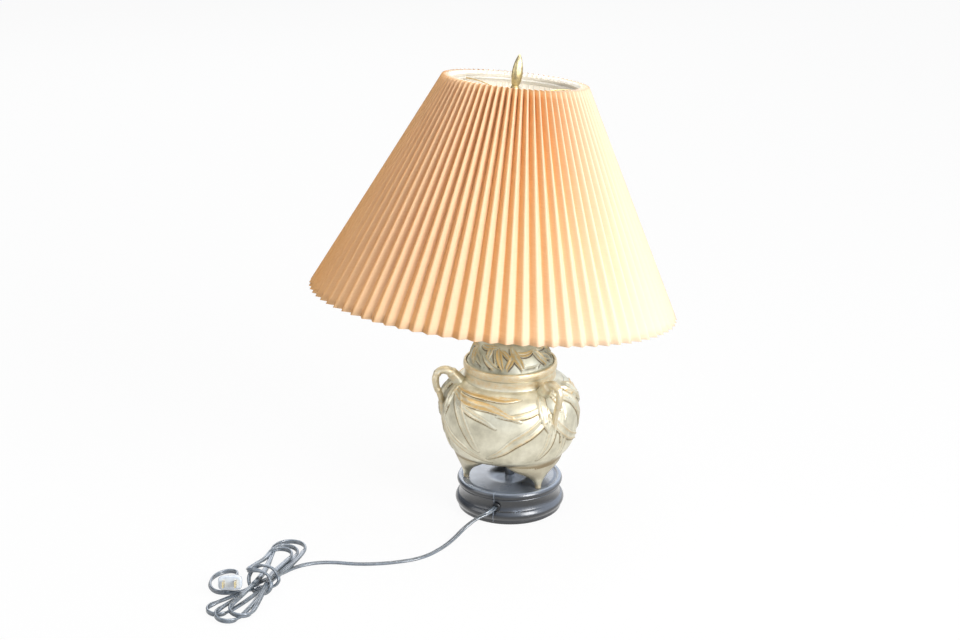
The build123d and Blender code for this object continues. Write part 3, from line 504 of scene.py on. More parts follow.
def hank_points():
    """Each loop leaves its lane at the waist, opens along two side points, goes round its tip
    on a circle a little wider than its half width, because the spline cuts the corners, and
    comes back to the next lane; a bow bends both sides."""
    waist, across = rows_of(WAIST), rows_of(WAIST_ACROSS)
    circle = np.radians([105, 63, 21, -21, -63, -105])
    points = []
    for k, (x, y, half, first, last, bow) in enumerate(HANK_LOOPS):
        tip = rows_of((x, y))
        out = unit(tip - waist)
        side = rows_of((out[1], -out[0]))
        (lane0, high0), (lane1, high1) = WAIST_LANES[k], WAIST_LANES[k + 1]
        start, end = waist + across * lane0, waist + across * lane1
        arc = tip - out * half + 1.09 * half * (np.cos(circle)[:, None] * out
                                                + np.sin(circle)[:, None] * side)
        points.append((*start, high0))
        for f in (0.36, 0.7):
            spot = start + (arc[0] - start) * f + across * bow * 4 * f * (1 - f)
            points.append((*spot, high0 + (first - high0) * min(1, 1.3 * f)))
        points += [(*spot, high) for spot, high in zip(arc, np.linspace(first, last, 6))]
        for f in (0.3, 0.64):
            spot = arc[-1] + (end - arc[-1]) * f + across * bow * 4 * f * (1 - f)
            points.append((*spot, last + (high1 - last) * f))
    return points[:-1]


def wrap_points():
    """The wraps: an ellipse square to the bundle whose middle and size drift with the angle."""
    stations = rows_of(WRAPS)
    angles = np.arange(WRAPS[0][0], WRAPS[-1][0] - 1, -30.0)
    x, y, half, high = (np.interp(-angles, -stations[:, 0], stations[:, k]) for k in (1, 2, 3, 4))
    turn = np.radians(angles)
    return list(zip(x + WAIST_ACROSS[0] * half * np.cos(turn),
                    y + WAIST_ACROSS[1] * half * np.cos(turn),
                    WRAP_LIFT + high + high * np.sin(turn)))


def spline_line(points):
    """Points along the NURBS spline of order 3 whose control points are given, in metres."""
    data = bpy.data.curves.new("cord_route", "CURVE")
    data.dimensions = "3D"
    data.resolution_u = 12
    spline = data.splines.new("NURBS")
    spline.points.add(len(points) - 1)
    spline.points.foreach_set("co", np.hstack([rows_of(points) * MM, np.ones((len(points), 1))])
                              .ravel())
    spline.order_u = 3
    spline.use_endpoint_u = True
    holder = bpy.data.objects.new("cord_route", data)
    bpy.context.scene.collection.objects.link(holder)
    bpy.context.view_layer.update()
    mesh = bpy.data.meshes.new_from_object(holder)
    line = np.zeros(3 * len(mesh.vertices))
    mesh.vertices.foreach_get("co", line)
    bpy.data.objects.remove(holder)
    bpy.data.meshes.remove(mesh)
    bpy.data.curves.remove(data)
    return line.reshape(-1, 3)


def flat_side(line):
    """Which way the flat cord's width lies: level on a straight stretch, and square to the bend
    in a tight one, because a flat cord bends only about its wide side."""
    along = unit(np.gradient(line, axis=0))
    steps = np.linalg.norm(np.gradient(line, axis=0), axis=1, keepdims=True)
    bend = np.gradient(along, axis=0) / steps
    tight = smoothstep(1 / STRAIGHT_R, 1 / TIGHT_R, np.linalg.norm(bend, axis=1, keepdims=True))
    level = unit(np.cross(along, UP))
    square = unit(np.cross(along, bend))
    square *= np.where(square[:, 2:] < 0, -1, 1)
    wide = level * (1 - tight) + square * tight
    flips = np.sign(np.sum(wide[1:] * wide[:-1], axis=1))
    wide[1:] *= np.cumprod(np.where(flips == 0, 1, flips))[:, None]
    # smoothed over 19 rings, the ends repeated
    reach = np.hanning(19) / np.hanning(19).sum()
    padded = np.vstack([np.repeat(wide[:1], 9, axis=0), wide, np.repeat(wide[-1:], 9, axis=0)])
    return np.stack([np.convolve(padded[:, k], reach, "valid") for k in range(3)], axis=1)


def make_cord():
    """Twin lamp cord: the outline of two round conductors side by side,
    r = gap |cos a| + sqrt(lobe^2 - gap^2 sin^2 a), carried along the spline."""
    route = spline_line(CORD_ROUTE + hank_points() + BULGE + wrap_points() + TO_PLUG)
    line = evenly(route / MM, CORD_RINGS)
    angles = round_angles(CORD_SIDES)
    outline = CORD_HALF_GAP * np.abs(np.cos(angles)) + np.sqrt(
        CORD_LOBE_R ** 2 - (CORD_HALF_GAP * np.sin(angles)) ** 2)
    grid = carried(line, np.tile(outline, (len(line), 1)), flat_side(line))
    grid[..., 2] = np.maximum(grid[..., 2], 0.02)       # the jacket rests on the floor
    cord = Shell().add(grid, caps=(True, True)).piece(
        "lamp_cord", "lamp", "cord_jacket", ("cord_run", "cord_hank"))
    plug = make_plug()


PLUG_FACE = (-297.5, -240.0, 20.5)     # middle of the face
PLUG_RISE, PLUG_TURN = 20.0, 3.0       # degrees over level, and its bearing
# depth behind the face, half width, half height, squareness of the outline
PLUG_STATIONS = [(-0.01, 10.2, 5.4, 4.5), (0.0, 11.6, 6.6, 4.5), (0.7, 12.4, 7.4, 4.5),
                 (1.6, 12.5, 7.5, 4.5), (12.5, 12.3, 7.3, 4.0), (17.0, 10.6, 6.5, 3.4),
                 (21.5, 7.4, 4.9, 2.8), (25.0, 4.9, 3.5, 2.4), (27.5, 4.2, 2.9, 2.2),
                 (31.0, 3.7, 2.5, 2.0)]


def make_plug():
    """Moulded plug: superellipse sections, |x/a|^n + |y/b|^n = 1, from the face to the neck."""
    level, across = radial(PLUG_TURN)
    rise = math.radians(PLUG_RISE)
    out = math.cos(rise) * level + math.sin(rise) * UP
    lift = np.cross(out, across)
    angles = round_angles(64)
    shapes = np.vstack([rows_of(PLUG_STATIONS)[:4], smooth_line(PLUG_STATIONS[3:], 40)[1:]])
    depth, half, high, square = (shapes[:, k][:, None] for k in range(4))
    c, s = np.cos(angles), np.sin(angles)
    x = half * np.sign(c) * np.abs(c) ** (2 / square)
    y = high * np.sign(s) * np.abs(s) ** (2 / square)
    grid = (rows_of(PLUG_FACE) - depth[..., None] * out + x[..., None] * across
            + y[..., None] * lift)
    return Shell().add(grid, caps=(True, True)).piece(
        "plug_moulding", "lamp", "plug_plastic", ("plug_body",))


# ---- shade -------------------------------------------------------------------
PLEATS = 78
SHADE_TOP_R = 80.4
SHADE_BOTTOM_R = 204.5
PLEAT_FACE = 10.7            # crest to valley, along the cloth
CLOTH_T = 0.6
FOLD = 0.985                 # 1 is a sharp fold
LEAST_DEPTH = 3.0            # of a pleat, where the crests stand far apart
UNEVEN, LEAN = 0.035, 0.045  # spread of the folds' places and slopes, in faces
SAG = 0.5                    # between the rings the cloth sinks by up to 0.6 of this
STEPS_PER_PLEAT = 12
SHADE_ROWS = 30
LIGHT_WAY = [0.8, -0.6, 0.1]       # towards the window lamp: cloth turned to it is painted paler, as painted light
FOLD_SHADE = 0.75                  # painted shade deep in a fold at the top
FACE_LIGHT, SIDE_LIGHT = 0.46, 0.34    # painted light on a face turned to the window lamp, and on the side nearest it


def shade_frame():
    """Pivot and axes of the leaning shade, from the joint that it turns on."""
    joint = next(j for j in frame["joints"] if j["name"] == "shade_turn")
    axis = unit(joint["axis"])
    right = unit(np.cross(np.cross(axis, [1, 0, 0]), axis))
    return rows_of(joint["pos_m"]) / MM, right, np.cross(axis, right), axis


def leaning(axes, radius, along, angles):
    """Grid of points round the shade's axis, at a radius and a place along it."""
    middle, right, back, axis = axes
    return (middle + radius[..., None] * (np.cos(angles)[:, None] * right
                                          + np.sin(angles)[:, None] * back)
            + along[..., None] * axis)


def heights_on(node, middle, axis):
    """Lowest and highest place of a solid along an axis."""
    mesh = frame["nodes"][node].data
    points = np.zeros(3 * len(mesh.vertices))
    mesh.vertices.foreach_get("co", points)
    along = (points.reshape(-1, 3) / MM - middle) @ axis
    return along.min(), along.max()


def make_shade():
    """Pleated cone: r = crest - depth (1 - w) / 2 with w = asin(k sin(n a)) / asin(k), a folded
    zigzag whose folds are slightly round. The depth keeps the cloth's face the same width all the
    way down, so the pleats are deep and close at the top and shallow at the bottom."""
    axes = shade_frame()
    middle, axis = axes[0], axes[3]
    low, high = heights_on("shade_pleats", middle, axis)
    down = np.linspace(0, 1, SHADE_ROWS)[:, None]
    angles = round_angles(PLEATS * STEPS_PER_PLEAT)
    count = len(angles)
    pleat = np.arange(count) * 2.0 / STEPS_PER_PLEAT                  # folds passed
    uneven, lean = (np.interp(pleat, np.arange(2 * PLEATS), RNG.normal(0, spread, 2 * PLEATS))
                    for spread in (UNEVEN, LEAN))
    phase = PLEATS * angles + (uneven + lean * (down - 0.5)) * math.pi
    wave = np.arcsin(FOLD * np.sin(phase)) / math.asin(FOLD)
    crest = SHADE_TOP_R + (SHADE_BOTTOM_R - SHADE_TOP_R) * down
    half_pitch = math.pi * crest / PLEATS
    depth = np.sqrt(np.maximum(PLEAT_FACE ** 2 - half_pitch ** 2, LEAST_DEPTH ** 2))
    sag = SAG * np.sin(math.pi * down) * noise_round(angles, (2, 3, 5))
    radius = crest - CLOTH_T / 2 - depth * (1 - wave) / 2 - 0.6 * np.abs(sag)
    t = high + (low - high) * down + 0 * angles
    mid = leaning(axes, radius, t, angles)
    round_way = np.roll(mid, -1, axis=1) - np.roll(mid, 1, axis=1)
    down_way = np.gradient(mid, axis=0)
    out = unit(np.cross(down_way, round_way))
    outward = mid - (middle + ((mid - middle) @ axis)[..., None] * axis)
    out *= np.sign(np.median(np.sum(out * outward, axis=-1)))
    loop = np.concatenate([mid + out * CLOTH_T / 2, (mid - out * CLOTH_T / 2)[::-1]])
    inner = np.zeros(2 * SHADE_ROWS, bool)
    inner[SHADE_ROWS:2 * SHADE_ROWS - 1] = True
    # painted shade darkens the folds, most where they are close together near the top, and painted
    # light makes paler the faces turned to the window lamp and the whole side of the shade nearest it
    lit_side = np.clip(unit(outward) @ unit(LIGHT_WAY), 0, 1) ** 3
    fold = FOLD_SHADE * ((1 - wave) / 2) ** 1.5 * (1 - down) ** 1.2 * (1 - 0.7 * lit_side)
    fold -= FACE_LIGHT * np.clip(out @ unit(LIGHT_WAY), 0, 1) + SIDE_LIGHT * lit_side
    shade = Shell().add(loop, loop=True, values=np.concatenate([fold, 0 * fold])).piece(
        "pleated_shade", "shade", "shade_cloth", ("shade_pleats",), "fold",
        second=(LINING, np.repeat(inner, count)))
    # the cloth's own map: metres along the folded cloth and down the slant
    slant = math.hypot(high - low, SHADE_BOTTOM_R - SHADE_TOP_R)
    across = np.arange(count) * PLEAT_FACE * 2 / STEPS_PER_PLEAT * MM
    u, v = np.meshgrid(across, np.concatenate([down[:, 0], down[::-1, 0]]) * slant * MM)
    layer = shade.data.uv_layers.new(name="cloth")
    order = np.zeros(len(shade.data.loops), np.int32)
    shade.data.loops.foreach_get("vertex_index", order)
    per_point = np.stack([u, v], -1).reshape(-1, 2)
    layer.data.foreach_set("uv", per_point[order].ravel().astype(np.float32))


# ---- base --------------------------------------------------------------------
FELT_T = 1.5
PIPE_HOLE_R = 5.3
# torus, cove and bead: radius at both ends, swell between, power of its sine, foot, height
MOULDINGS = [(60.0, 2.6, 1.0, 5.6, 10.8), (59.0, -1.6, 1.0, 16.8, 13.2),
             (58.4, 2.2, 0.8, 30.0, 8.0)]
BASE_H = 38.0
BASE_TOP = [(58.4, BASE_H), (55.2, BASE_H), (54.0, BASE_H - 1.0), (51.2, BASE_H), (30.0, BASE_H),
            (PIPE_HOLE_R, BASE_H)]
BASE_UNDER = [(PIPE_HOLE_R, 26.0), (27.0, 26.0), (27.0, FELT_T), (59.4, FELT_T), (59.4, 4.6),
              (59.2, 5.0), (60.0, 5.6)]
BASE_COLUMNS = 720
CORNER_R = 0.7               # of the turned and cast corners
CRACK_BEARING, SCUFF_BEARING = -18.5, 8.0


def make_base():
    """Turned base: foot, mouldings and a top with a scribed ring. Its attribute of pale marks is
    the share of pale colour: half along a hairline above and below the cord's hole, more on a
    small scuff, most as a painted highlight along the rim of the top and least as a painted
    reflection of the sky over the top inside it."""
    t = np.linspace(0, 1, 14)[:, None]
    torus, cove, bead = (np.hstack([r + out * np.sin(math.pi * t) ** power, z + tall * t])
                         for r, out, power, z, tall in MOULDINGS)
    top, low = eased(BASE_TOP, CORNER_R), eased(BASE_UNDER, CORNER_R)
    profile = np.vstack([low[:-1], torus, cove, bead, top[1:]])
    angles = round_angles(BASE_COLUMNS)
    grid = turned(profile, angles)
    bearing = np.degrees(angles)
    # distance from the wandering crack, 1.05 mm to the degree
    wander = 0.4 * np.sin(profile[:, 1] / 3)[:, None]
    off = (np.mod(bearing - CRACK_BEARING + wander + 180, 360) - 180) * 1.05
    face = (profile[:, 0] > 52.0)[:, None]
    radius, height = profile[:, :1], profile[:, 1:]
    pale_marks = bell(off, 0, 0.35) * face * (height > 3)
    spot = (bell(np.mod(bearing - SCUFF_BEARING + 180, 360), 180, 4.5) * bell(height, 17.0, 1.1)
            * (RNG.random(grid.shape[:2]) > 0.55))
    on_top = height > BASE_H - 1.5
    # painted highlight along the top's outer edge
    rim_highlight = bell(radius, 58.3, 0.8) * on_top
    # painted reflection of the sky over the top, strongest towards the front left
    top_reflection = smoothstep(59, 57, radius) * on_top * (
        0.2 + 0.14 * np.cos(angles + 0.7) + 0.07 * noise_round(angles, (3, 5, 8, 13)))
    marks = np.clip(0.5 * pale_marks + 0.6 * spot + 0.7 * rim_highlight + top_reflection, 0, 1)
    Shell().add(grid, loop=True, values=marks).piece(
        "turned_base", "lamp", "ebonised_wood", ("wooden_base",), "pale_marks")


# ---- urn ---------------------------------------------------------------------
URN_Z = 68.0
# outer profile: radius, height over the underside
URN_OUTSIDE = [(38.0, 0.0), (50.0, 1.6), (59.0, 4.6), (66.2, 8.8), (71.6, 16.0), (75.8, 28.5),
               (78.0, 44.0), (78.0, 58.0), (74.6, 72.0), (67.0, 83.0), (58.5, 89.2),
               (53.4, 91.6)]
NECK = [(53.4, 91.6), (52.2, 92.6), (51.7, 97.0), (51.8, 102.6), (52.9, 103.6), (53.4, 108.0),
        (52.9, 111.4), (51.6, 112.5), (50.0, 112.1), (50.0, 108.3), (46.0, 108.3), (46.0, 105.0)]
INSIDE = [(46.0, 105.0), (46.0, 100.0), (48.5, 91.6), (55.3, 87.6), (63.8, 81.4), (71.4, 70.4),
          (74.8, 57.0), (74.8, 45.6), (72.4, 30.0), (68.0, 17.6), (56.0, 6.2), (46.8, 3.2),
          (PIPE_HOLE_R, 3.2), (PIPE_HOLE_R, 0.0), (38.0, 0.0)]
ROOTS = {"handle_left": -81.0, "handle_right": 39.0, "handle_back": 159.0}
# foot stations: radius, height over the base, half widths along and across the radius
FOOT_LINE = [(50.6, 0.0, 3.1, 3.1), (50.6, 0.2, 3.4, 3.4), (50.4, 4.0, 3.6, 3.9),
             (50.0, 9.0, 4.9, 6.6), (49.0, 14.0, 7.5, 11.5), (47.9, 19.0, 10.6, 19.0),
             (46.2, 24.0, 14.6, 27.5), (43.6, 29.0, 19.2, 35.0), (39.0, 35.0, 26.0, 40.0),
             (32.0, 42.0, 35.0, 43.0)]
FOOT_BLEND = 2.0
CAST_UNEVEN = 0.25           # height of the casting's slow unevenness
FOOT_RINGS, FOOT_SIDES = 44, 72
URN_ROWS, URN_COLUMNS = 150, 440
# painted shade under the belly: where it starts, where it is full, and how dark
UNDER_SHADE_FROM, UNDER_SHADE_FULL, UNDER_SHADE = BASE_H + 42.0, BASE_H + 33.0, 0.6
NECK_RUB = 0.66
# leaves of the front third, bearing and height over the floor along each midrib, then the
# widest half width, the relief's height and how strongly the leaf is rubbed to gold
URN_LEAVES = [
    ([(-72, 156), (-60, 150), (-50, 138), (-41, 120), (-33, 102), (-29, 95)], 5.6, 1.5, 0.35),
    ([(-90, 150), (-84, 134), (-74, 118), (-61, 104), (-47, 96), (-34, 89), (-18, 82)],
     4.4, 1.5, 0.45),
    ([(-68, 156), (-52, 157), (-37, 157), (-22, 156.5), (-7, 155), (10, 155)], 5.6, 1.5, 1.25),
    ([(-66, 152), (-50, 149), (-34, 148), (-20, 147), (-8, 143), (8, 134)], 4.2, 1.3, 0.95),
    ([(-62, 148), (-49, 143), (-36, 138), (-23, 133), (-13, 126)], 2.6, 1.2, 0.4),
    ([(34, 143), (26, 130), (15, 119), (3, 109), (-8, 97), (-21, 87)], 5.4, 1.5, 0.5),
    ([(37, 132), (36, 114), (32, 98), (24, 84)], 5.0, 0.9, 0.3),
    ([(44, 128), (49, 112), (50, 94), (46, 76)], 4.2, 0.8, 0.25),
    ([(30, 146), (16, 141), (2, 139), (-12, 140)], 2.6, 0.9, 0.5),
    ([(-76, 161), (-71, 150), (-69, 137), (-71, 122)], 4.2, 2.6, 0.3),
    ([(-88, 159), (-92, 147), (-92, 132), (-87, 114)], 4.6, 2.4, 0.3),
]
# more leaves on the right shoulder and by the left handle only
SHOULDER_LEAVES = [
    ([(-86, 160), (-91, 149), (-92, 134), (-87, 114)], 6.0, 4.4, 0.35),
    ([(50, 168), (61, 165), (72, 157), (82, 144), (88, 130)], 7.5, 3.6, 0.35),
    ([(46, 160), (57, 152), (67, 142), (74, 128)], 5.2, 2.0, 0.25),
]
LEAF_EDGE, VEIN_PITCH = 0.8, 1.5


def leaf_relief(theta, radius, run, midrib, profile_run, half, high, rub):
    """Height and mark of one leaf on a surface unrolled round its axis. At a place whose nearest
    midrib point is a fraction f along, the half width is half sin(pi f^0.8)^0.75; the relief
    rises at that edge, dips to the midrib's crease and lips up along the edge. The lips are
    rubbed bright on every leaf, the whole blade only on a gilt one."""
    spine = smooth_line(midrib, 70)
    spine_t = np.radians(spine[:, 0])
    spine_s = np.interp(spine[:, 1], profile_run[1], profile_run[0])
    gap = np.full(theta.shape, 1e9)
    share = np.zeros(theta.shape)
    above = np.zeros(theta.shape, bool)
    for k in range(len(spine)):
        round_way = (np.mod(theta - spine_t[k] + math.pi, TURN) - math.pi) * radius
        apart = round_way ** 2 + (run - spine_s[k]) ** 2
        nearer = apart < gap
        gap = np.where(nearer, apart, gap)
        share = np.where(nearer, k / (len(spine) - 1), share)
        above = np.where(nearer, run > spine_s[k], above)
    gap = np.sqrt(gap)
    wide = half * np.sin(math.pi * np.clip(0.06 + 0.93 * share, 0, 1) ** 0.8) ** 0.75 + 0.25
    inside = 1 - smoothstep(wide - 0.2, wide + LEAF_EDGE, gap)
    lip = bell(gap, 0.82 * wide, 0.9)
    crease = bell(gap, 0, 0.8)
    veins = 0.08 * np.cos(TURN * gap / VEIN_PITCH)
    fade = np.sin(math.pi * np.clip(0.1 + 0.84 * share, 0, 1)) ** 0.4
    # the ground beside a leaf darkens, as patina in the hollow and as painted shadow, stronger below the leaf than
    # above it
    patina_and_shadow = bell(gap, wide + 0.9, 1.3) * np.where(above, 0.3, 1.0)
    return (high * fade * inside * (0.5 + 0.6 * lip + veins - 0.35 * crease),
            fade * inside * (rub ** 1.6 + 0.45 * lip - 0.6 * crease), patina_and_shadow * fade)


def relief_field(grid_theta, profile, leaves):
    """All leaves over a turned surface: the highest leaf wins, the ground beside one darkens with
    patina and painted shadow.
    """
    run = np.concatenate([[0], np.cumsum(np.linalg.norm(np.diff(profile, axis=0), axis=1))])
    theta = grid_theta + 0 * run[:, None]
    radius, along = profile[:, :1] + 0 * theta, run[:, None] + 0 * theta
    order = np.argsort(profile[:, 1], kind="stable")
    lookup = (run[order], profile[order, 1])
    height, leaf, dark = (np.zeros(theta.shape) for _ in range(3))
    for midrib, half, high, rub in leaves:
        rise, blade, patina_and_shadow = leaf_relief(theta, radius, along, midrib, lookup, half, high, rub)
        wins = rise > height
        height = np.where(wins, rise, height)
        leaf = np.where(wins, blade, leaf)
        dark = np.maximum(dark, patina_and_shadow)
    return height, np.where(np.abs(leaf) > 0.05, leaf, -0.85 * dark)


def repeated(leaves):
    """The front third's leaves, and the same again in the other two with small changes."""
    out = []
    for shift in PERIODS:
        for midrib, half, high, rub in leaves:
            jog = RNG.normal(0, 1.2, 2) * (shift > 0)
            out.append(([(b + shift + jog[0], z + jog[1]) for b, z in midrib], half, high, rub))
    return out


def urn_foot(bearing):
    """Foot: ellipses that widen from the small tip into the belly."""
    stations = smooth_line(FOOT_LINE, FOOT_RINGS)
    angles = round_angles(FOOT_SIDES)
    out, side = radial(bearing)
    r, z, along, across = (stations[:, k][:, None, None] for k in range(4))
    return (r * out + (BASE_H + z) * UP
            + across * np.cos(angles)[:, None] * side + along * np.sin(angles)[:, None] * out)


def foot_reach(angles, z, bearing):
    """How far a foot's ellipse reaches from the axis at a height and angle: the larger root q
    of ((q cos - r) / a)^2 + (q sin / b)^2 = 1."""
    stations = rows_of(FOOT_LINE)
    r, a, b = (np.interp(z - BASE_H, stations[:, 1], stations[:, k]) for k in (0, 2, 3))
    c, s = np.cos(angles - math.radians(bearing)), np.sin(angles - math.radians(bearing))
    square, linear, rest = c ** 2 / a ** 2 + s ** 2 / b ** 2, -2 * r * c / a ** 2, (r / a) ** 2 - 1
    inside = linear ** 2 - 4 * square * rest
    reach = (-linear + np.sqrt(np.maximum(inside, 0))) / (2 * square)
    return np.where((inside > 0) & (c > 0), reach, 0)


def make_urn():
    """Cast urn: its profile turned round the axis, the belly pushed out along its normal by the
    leaf relief, with three stub feet in the same casting."""
    outside = evenly(smooth_line(URN_OUTSIDE, 400), URN_ROWS)
    neck = eased(NECK, CORNER_R, 4)
    profile = np.vstack([outside[:-1], neck[:-1], rows_of(INSIDE)[:-1]])
    profile[:, 1] += URN_Z
    angles = round_angles(URN_COLUMNS)
    grid = turned(profile, angles)
    belly = profile[:len(outside) - 1]
    height, leaf = relief_field(angles, belly, repeated(URN_LEAVES) + SHOULDER_LEAVES)
    # the belly swells to meet each foot: (p + q + sqrt((p - q)^2 + blend^2)) / 2
    swell = np.repeat(belly[:, :1], len(angles), axis=1)
    near = belly[:, 1] < BASE_H + FOOT_LINE[-1][1]
    for bearing in ROOTS.values():
        reach = foot_reach(angles, belly[near, 1:], bearing)
        met = (swell[near] + reach + np.hypot(swell[near] - reach, FOOT_BLEND)) / 2
        swell[near] = np.where(reach > 0, np.maximum(met, swell[near]), swell[near])
    skin = grid[:len(belly)]
    push_out(skin, swell - belly[:, :1], rows_of([(0, 1)]), angles)
    flat = smoothstep(52, 66, belly[:, :1])
    push = height * flat + CAST_UNEVEN * noise_round(angles, (2, 3, 5, 7)) * flat
    # the relief ends below the neck
    fade = 1 - smoothstep(len(belly) - 14, len(belly) - 3, np.arange(len(belly)))[:, None]
    push_out(skin, push * fade, unit(np.gradient(belly, axis=0)), angles)
    values = np.zeros(grid.shape[:2])
    # painted shade darkens the underside of the belly and the arches between the feet
    shade = smoothstep(UNDER_SHADE_FROM, UNDER_SHADE_FULL, belly[:, 1:])
    values[:len(belly)] = leaf * fade * (1 - shade) - UNDER_SHADE * shade
    # the neck is rubbed, its two grooves are dark
    up = neck[:-1, 1:]
    grooved = NECK_RUB - bell(up, 102.9, 0.8) - 0.9 * bell(up, 92.2, 1.3)
    values[len(belly):len(belly) + len(up)] = grooved
    shell = Shell().add(grid, loop=True, values=values)
    for bearing in ROOTS.values():
        foot = urn_foot(bearing)
        # a foot is rubbed at its tip, and darker with painted shade where it joins the belly
        tip_rub_and_shade = 0.55 - 0.85 * smoothstep(0, 16, foot[..., 2] - BASE_H)
        shell.add(foot, caps=(True, True), values=tip_rub_and_shade)
    shell.piece("cast_urn", "lamp", "bronze", ("urn_body",), "leaf")


# handle stations in its radial plane: radius, height over the urn's underside, stalk radius
HANDLE_LINE = [(55.5, 84.0, 8.4), (63.0, 95.2, 6.8), (71.5, 102.6, 5.2), (80.4, 102.6, 4.3),
               (85.4, 95.5, 4.2), (84.8, 84.5, 3.8), (81.0, 74.5, 3.4), (78.6, 64.0, 2.9),
               (78.2, 53.0, 2.2), (77.2, 44.0, 0.8)]
BAMBOO_NODES = (0.2, 0.4, 0.62)
HANDLE_RINGS, HANDLE_SIDES = 110, 36


def make_handle(node, bearing):
    """Bamboo stalk bent to a loop: the radius swells and pinches at each node of the cane,
    r (1 + 0.1 g((s - node) / 0.018) - 0.06 g((s - node - 0.035) / 0.016)), g a bell curve."""
    out, side = radial(bearing)
    stations = evenly(smooth_line(HANDLE_LINE, 200), HANDLE_RINGS)
    share = np.linspace(0, 1, len(stations))
    line = stations[:, :1] * out + (URN_Z + stations[:, 1:2]) * UP
    swell = 1 + sum(0.1 * bell(share, joint, 0.018) - 0.06 * bell(share, joint + 0.035, 0.016)
                    for joint in BAMBOO_NODES)
    angles = round_angles(HANDLE_SIDES)
    ribs = 1 + 0.035 * np.cos(3 * angles + 0.7) + 0.02 * np.cos(5 * angles)    # not quite round
    grid = carried(line, (stations[:, 2] * swell)[:, None] * ribs, side)
    # rubbed along the stalk, grimy at the root and less so at the tip
    root = smoothstep(0.16, 0.0, share) + 0.6 * smoothstep(0.86, 1.0, share)
    values = (0.5 - root)[:, None] + 0 * angles
    Shell().add(grid, caps=(True, True), values=values).piece(
        f"bamboo_{node}", "lamp", "bronze", (node,), "leaf")


# ---- lid ---------------------------------------------------------------------
LID_Z = 179.5
LID_ROWS, LID_COLUMNS = 92, 420
# the lid's flange and dome, and its underside: radius, height over the flange
DOME = [(49.2, -3.2), (49.2, -0.7), (48.6, 0.0), (46.4, 0.0), (45.4, 4.0), (43.6, 9.5),
        (39.0, 17.0), (31.0, 23.6), (21.0, 27.6), (14.0, 29.0)]
LID_UNDER = [(PIPE_HOLE_R, 29.0), (PIPE_HOLE_R, 26.6), (14.0, 26.6), (29.0, 22.0), (37.0, 15.6),
             (41.4, 8.0), (43.2, 0.0), (43.2, -3.2), (49.2, -3.2)]
# leaves of the front third of the lid, as on the urn but with heights over the flange
LID_LEAVES = [
    ([(-23, 22), (-20, 18), (-15, 10), (-10, 2)], 3.0, 2.2, 1.0),
    ([(4, 20), (0, 13), (-4, 8), (-7, 2.5)], 2.6, 2.0, 1.0),
    ([(2, 24), (8, 17), (14, 10), (18.5, 2)], 3.6, 2.6, 0.85),
    ([(-46, 15), (-34, 9.5), (-24, 5.5), (-13, 1.5)], 2.8, 2.2, 0.55),
    ([(-41, 25), (-39, 20), (-38, 16), (-37, 11)], 2.6, 2.0, 0.7),
    ([(-70, 16), (-60, 12), (-52, 9), (-43, 4)], 3.2, 2.4, 0.4),
    ([(-64, 22), (-50, 22), (-38, 23), (-26, 24)], 2.4, 1.9, 0.8),
    ([(44, 20), (49, 15), (56, 8), (63, 1.5)], 3.6, 2.4, 0.75),
    ([(19, 1.8), (28, 2.4), (37, 4.0), (46, 6.5)], 1.5, 1.0, 0.3),
    ([(12, 20), (22, 18.5), (33, 19), (44, 21)], 2.4, 1.9, 1.0),
    ([(-16, 22), (-8, 19), (-3, 16), (2, 12)], 2.0, 1.6, 1.0),
    ([(-30, 22), (-24, 15), (-22, 9), (-26, 3)], 1.8, 1.4, 0.5),
]


def make_lid():
    """Domed lid: its profile turned round the axis with crossing leaves in high relief."""
    corner = eased(DOME[:5], 0.5, 4)
    dome = evenly(smooth_line(DOME[4:], 200), LID_ROWS)
    profile = np.vstack([corner[:-1], dome, LID_UNDER])
    profile[:, 1] += LID_Z
    angles = round_angles(LID_COLUMNS)
    grid = turned(profile, angles)
    first = len(corner) - 1
    part = slice(first, first + len(dome))
    leaves = [([(b, LID_Z + h) for b, h in midrib], half, high, rub)
              for midrib, half, high, rub in LID_LEAVES]
    height, leaf = relief_field(angles, profile[part], repeated(leaves))
    push_out(grid[part], height, unit(np.gradient(profile[part], axis=0)), angles)
    values = np.full(grid.shape[:2], 0.1)
    values[part] = leaf
    Shell().add(grid, loop=True, values=values).piece(
        "leaf_lid", "lamp", "bronze", ("urn_lid",), "leaf", LID_BRONZE)


# ---- finial ------------------------------------------------------------------
BUD_H = 34.4
BUD_OUTLINE = [(3.9, 0.0), (4.5, 2.0), (5.3, 5.5), (5.9, 11.0), (5.8, 16.0), (5.0, 22.0),
               (3.6, 27.5), (2.0, 31.8), (0.9, 33.8), (0.25, 34.4)]
BUD_RIDGE_TURN, BUD_TWIST = 0.35, 1.1    # radians at the foot, and more by the tip
BUD_FOLD = 0.97
BUD_LEAN = 1.4               # the tip bends over by this much


